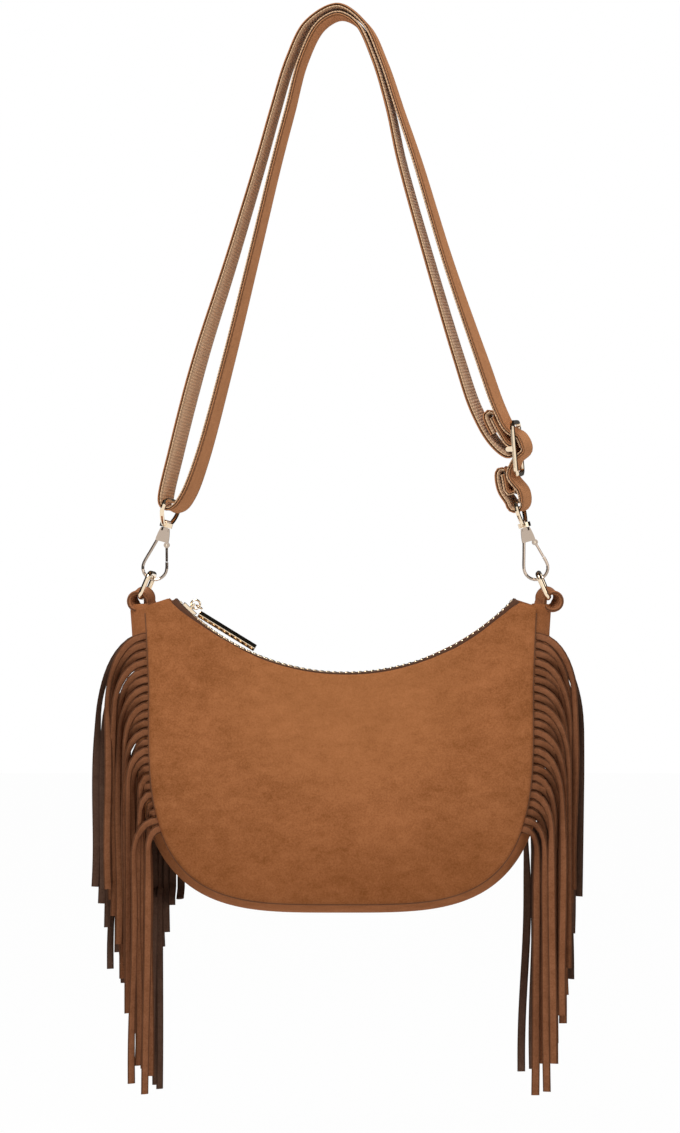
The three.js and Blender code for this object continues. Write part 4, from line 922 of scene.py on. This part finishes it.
def repeat_tree():
    """Sets copies of an item along a line, Z along the line and Y towards the back."""
    tree = bpy.data.node_groups.new("items_along_line", "GeometryNodeTree")
    face = tree.interface
    face.new_socket("Geometry", in_out="INPUT", socket_type="NodeSocketGeometry")
    face.new_socket("Spacing", in_out="INPUT", socket_type="NodeSocketFloat")
    face.new_socket("Item", in_out="INPUT", socket_type="NodeSocketObject")
    face.new_socket("Material", in_out="INPUT", socket_type="NodeSocketMaterial")
    face.new_socket("Geometry", in_out="OUTPUT", socket_type="NodeSocketGeometry")
    given, out = tree.nodes.new("NodeGroupInput"), tree.nodes.new("NodeGroupOutput")
    curve = add(tree, "GeometryNodeMeshToCurve", {"Mesh": given.outputs["Geometry"]})
    points = add(tree, "GeometryNodeCurveToPoints",
                 {"Curve": curve.outputs[0], "Length": given.outputs["Spacing"]}, mode="LENGTH")
    first = add(tree, "FunctionNodeAlignRotationToVector", {"Vector": points.outputs["Tangent"]}, axis="Z")
    second = add(tree, "FunctionNodeAlignRotationToVector",
                 {"Rotation": first.outputs[0], "Vector": (0.0, 1.0, 0.0)}, axis="Y", pivot_axis="Z")
    info = add(tree, "GeometryNodeObjectInfo", {"Object": given.outputs["Item"]})
    copies = add(tree, "GeometryNodeInstanceOnPoints", {
        "Points": points.outputs["Points"], "Instance": info.outputs["Geometry"], "Rotation": second.outputs[0]})
    real = add(tree, "GeometryNodeRealizeInstances", {"Geometry": copies.outputs[0]})
    paint = add(tree, "GeometryNodeSetMaterial", {"Geometry": real.outputs[0], "Material": given.outputs["Material"]})
    tree.links.new(paint.outputs[0], out.inputs[0])
    return tree


REPEAT = repeat_tree()


def repeat_along(name, line, item, spacing, material, body, replaces=()):
    """Copies of item set along a line, as one piece."""
    obj = line_object(name + "_line", line, [(i, i + 1) for i in range(len(line) - 1)])
    final = run_nodes(obj, REPEAT, {"Spacing": spacing * MM, "Item": item, "Material": material}, name)
    return place(bpy.data.objects.new(name, final), material, body, replaces)


def item_object(name, skin):
    """A shape for repeat_along to copy. It is removed once the copies are made."""
    mesh = bpy.data.meshes.new(name)
    mesh.from_pydata((np.concatenate(skin.verts) * MM).tolist(), [], skin.faces)
    obj = bpy.data.objects.new(name, mesh)
    bpy.context.scene.collection.objects.link(obj)
    return obj


def tooth(side):
    """One tooth: a broad clasp on the tape side that narrows to a rounded head."""
    rings = []
    for y, height, thick in ((-2.75, 0.85, 0.75), (-2.5, 1.05, 0.95), (-1.2, 1.1, 0.95), (-0.4, 0.95, 0.8),
                             (0.5, 1.0, 0.9), (1.1, 0.9, 0.8), (1.4, 0.55, 0.5)):
        ring = []
        for a in np.linspace(0, 2 * math.pi, 12, endpoint=False):
            c, s = math.cos(a), math.sin(a)
            scale = (abs(c) ** 4 + abs(s) ** 4) ** -0.25
            ring.append((height * c * scale, -side * y, thick * s * scale))
        rings.append(ring)
    return Skin().loft(rings)


for side, name in ((-1, "front_zip_teeth"), (1, "back_zip_teeth")):
    item = item_object(name + "_item", tooth(side))
    shift = 0.0 if side < 0 else TOOTH_PITCH / 2 / MOUTH_R
    start, end = math.radians(-43.2) + shift + 0.6 / MOUTH_R, math.radians(45.0)
    line = [arc_point(a, 0, 0) for a in np.linspace(start, end, 200)]
    repeat_along(name + "_metal", line, item, TOOTH_PITCH, TEETH, "bag", [name])
    bpy.data.objects.remove(item)

for name in ("left_zip_end", "right_zip_end"):
    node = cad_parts[name]
    node.data.materials.clear()
    node.data.materials.append(GUSSET)


# Light, backdrop and camera

world = bpy.data.worlds.new("studio")
bpy.context.scene.world = world
world.use_nodes = True
tree = world.node_tree
tree.nodes.clear()
ray = add(tree, "ShaderNodeLightPath")
way = add(tree, "ShaderNodeSeparateXYZ", {0: add(tree, "ShaderNodeTexCoord").outputs["Generated"]})
overhead = add(tree, "ShaderNodeMapRange", {"Value": way.outputs[2], 1: -0.7, 2: 0.7, 3: 0.22, 4: 0.62}).outputs[0]
fill = add(tree, "ShaderNodeBackground", {"Color": (1.0, 0.99, 0.97, 1.0), "Strength": overhead})
white = add(tree, "ShaderNodeBackground", {"Color": (1.0, 1.0, 1.0, 1.0), "Strength": 1.0})
seen = maths(tree, "MAXIMUM", ray.outputs["Is Camera Ray"], ray.outputs["Is Transmission Ray"])
both = add(tree, "ShaderNodeMixShader", {0: seen, 1: fill.outputs[0], 2: white.outputs[0]})
# Metal sees a white wall in front, with a dark ceiling, dark sides and a dark back
ceiling = add(tree, "ShaderNodeMapRange", {"Value": way.outputs[2], 1: 0.3, 2: 0.6, 3: 1.0, 4: 0.11}).outputs[0]
across = maths(tree, "ABSOLUTE", way.outputs[0])
cards = add(tree, "ShaderNodeMapRange", {"Value": across, 1: 0.5, 2: 0.7, 3: 1.0, 4: 0.05}).outputs[0]
back = add(tree, "ShaderNodeMapRange", {"Value": way.outputs[1], 1: -0.75, 2: -0.3, 3: 1.0, 4: 0.07}).outputs[0]
room = add(tree, "ShaderNodeBackground", {"Color": (1.0, 1.0, 1.0, 1.0)})
shown = maths(tree, "MULTIPLY", maths(tree, "MULTIPLY", ceiling, cards), back)
tree.links.new(shown, room.inputs["Strength"])
studio = add(tree, "ShaderNodeMixShader", {0: ray.outputs["Is Glossy Ray"], 1: both.outputs[0], 2: room.outputs[0]})
add(tree, "ShaderNodeOutputWorld", {0: studio.outputs[0]})


def area_light(name, location, target, size, power):
    data = bpy.data.lights.new(name, "AREA")
    data.shape = "DISK"
    data.size = size
    data.energy = power
    obj = bpy.data.objects.new(name, data)
    bpy.context.scene.collection.objects.link(obj)
    obj.location = location
    obj.rotation_euler = (Vector(target) - Vector(location)).to_track_quat("-Z", "Y").to_euler()


def studio_floor():
    """A pale floor under the bag. It shows almost white to the camera and keeps a soft shadow."""
    mesh = bpy.data.meshes.new("studio_floor")
    corners = ((-4, -4), (4, -4), (4, 4), (-4, 4))
    mesh.from_pydata([(x, y, FLOOR_Z) for x, y in corners], [], [(0, 1, 2, 3)])
    material, tree, shader = new_material("studio_floor")
    shader.inputs["Base Color"].default_value = (0.86, 0.86, 0.86, 1.0)
    shader.inputs["Roughness"].default_value = 1.0
    ray = add(tree, "ShaderNodeLightPath")
    glow = add(tree, "ShaderNodeEmission", {"Color": (1.0, 1.0, 1.0, 1.0), "Strength": 1.0})
    seen = maths(tree, "MAXIMUM", ray.outputs["Is Camera Ray"], ray.outputs["Is Glossy Ray"])
    share = maths(tree, "MULTIPLY", seen, 0.97)
    both = add(tree, "ShaderNodeMixShader", {0: share, 1: shader.outputs[0], 2: glow.outputs[0]})
    tree.links.new(both.outputs[0], tree.nodes["Material Output"].inputs[0])
    mesh.materials.append(material)
    obj = bpy.data.objects.new("studio_floor", mesh)
    bpy.context.scene.collection.objects.link(obj)


studio_floor()
area_light("key", (-0.4, -1.0, 1.0), (0, 0, -0.35), 1.0, 19)
area_light("side", (1.3, -1.0, 0.0), (0, 0, -0.4), 0.9, 3)

camera_data = bpy.data.cameras.new("camera")
camera_data.sensor_fit = "VERTICAL"
camera_data.sensor_height = 24.0
camera_data.lens = 70.6
camera = bpy.data.objects.new("camera", camera_data)
camera.location = (0.0, -2.0, -0.3279)
camera.rotation_euler = (math.pi / 2, 0, 0)
bpy.context.scene.collection.objects.link(camera)
bpy.context.scene.camera = camera
bpy.context.scene.view_settings.view_transform = "Standard"

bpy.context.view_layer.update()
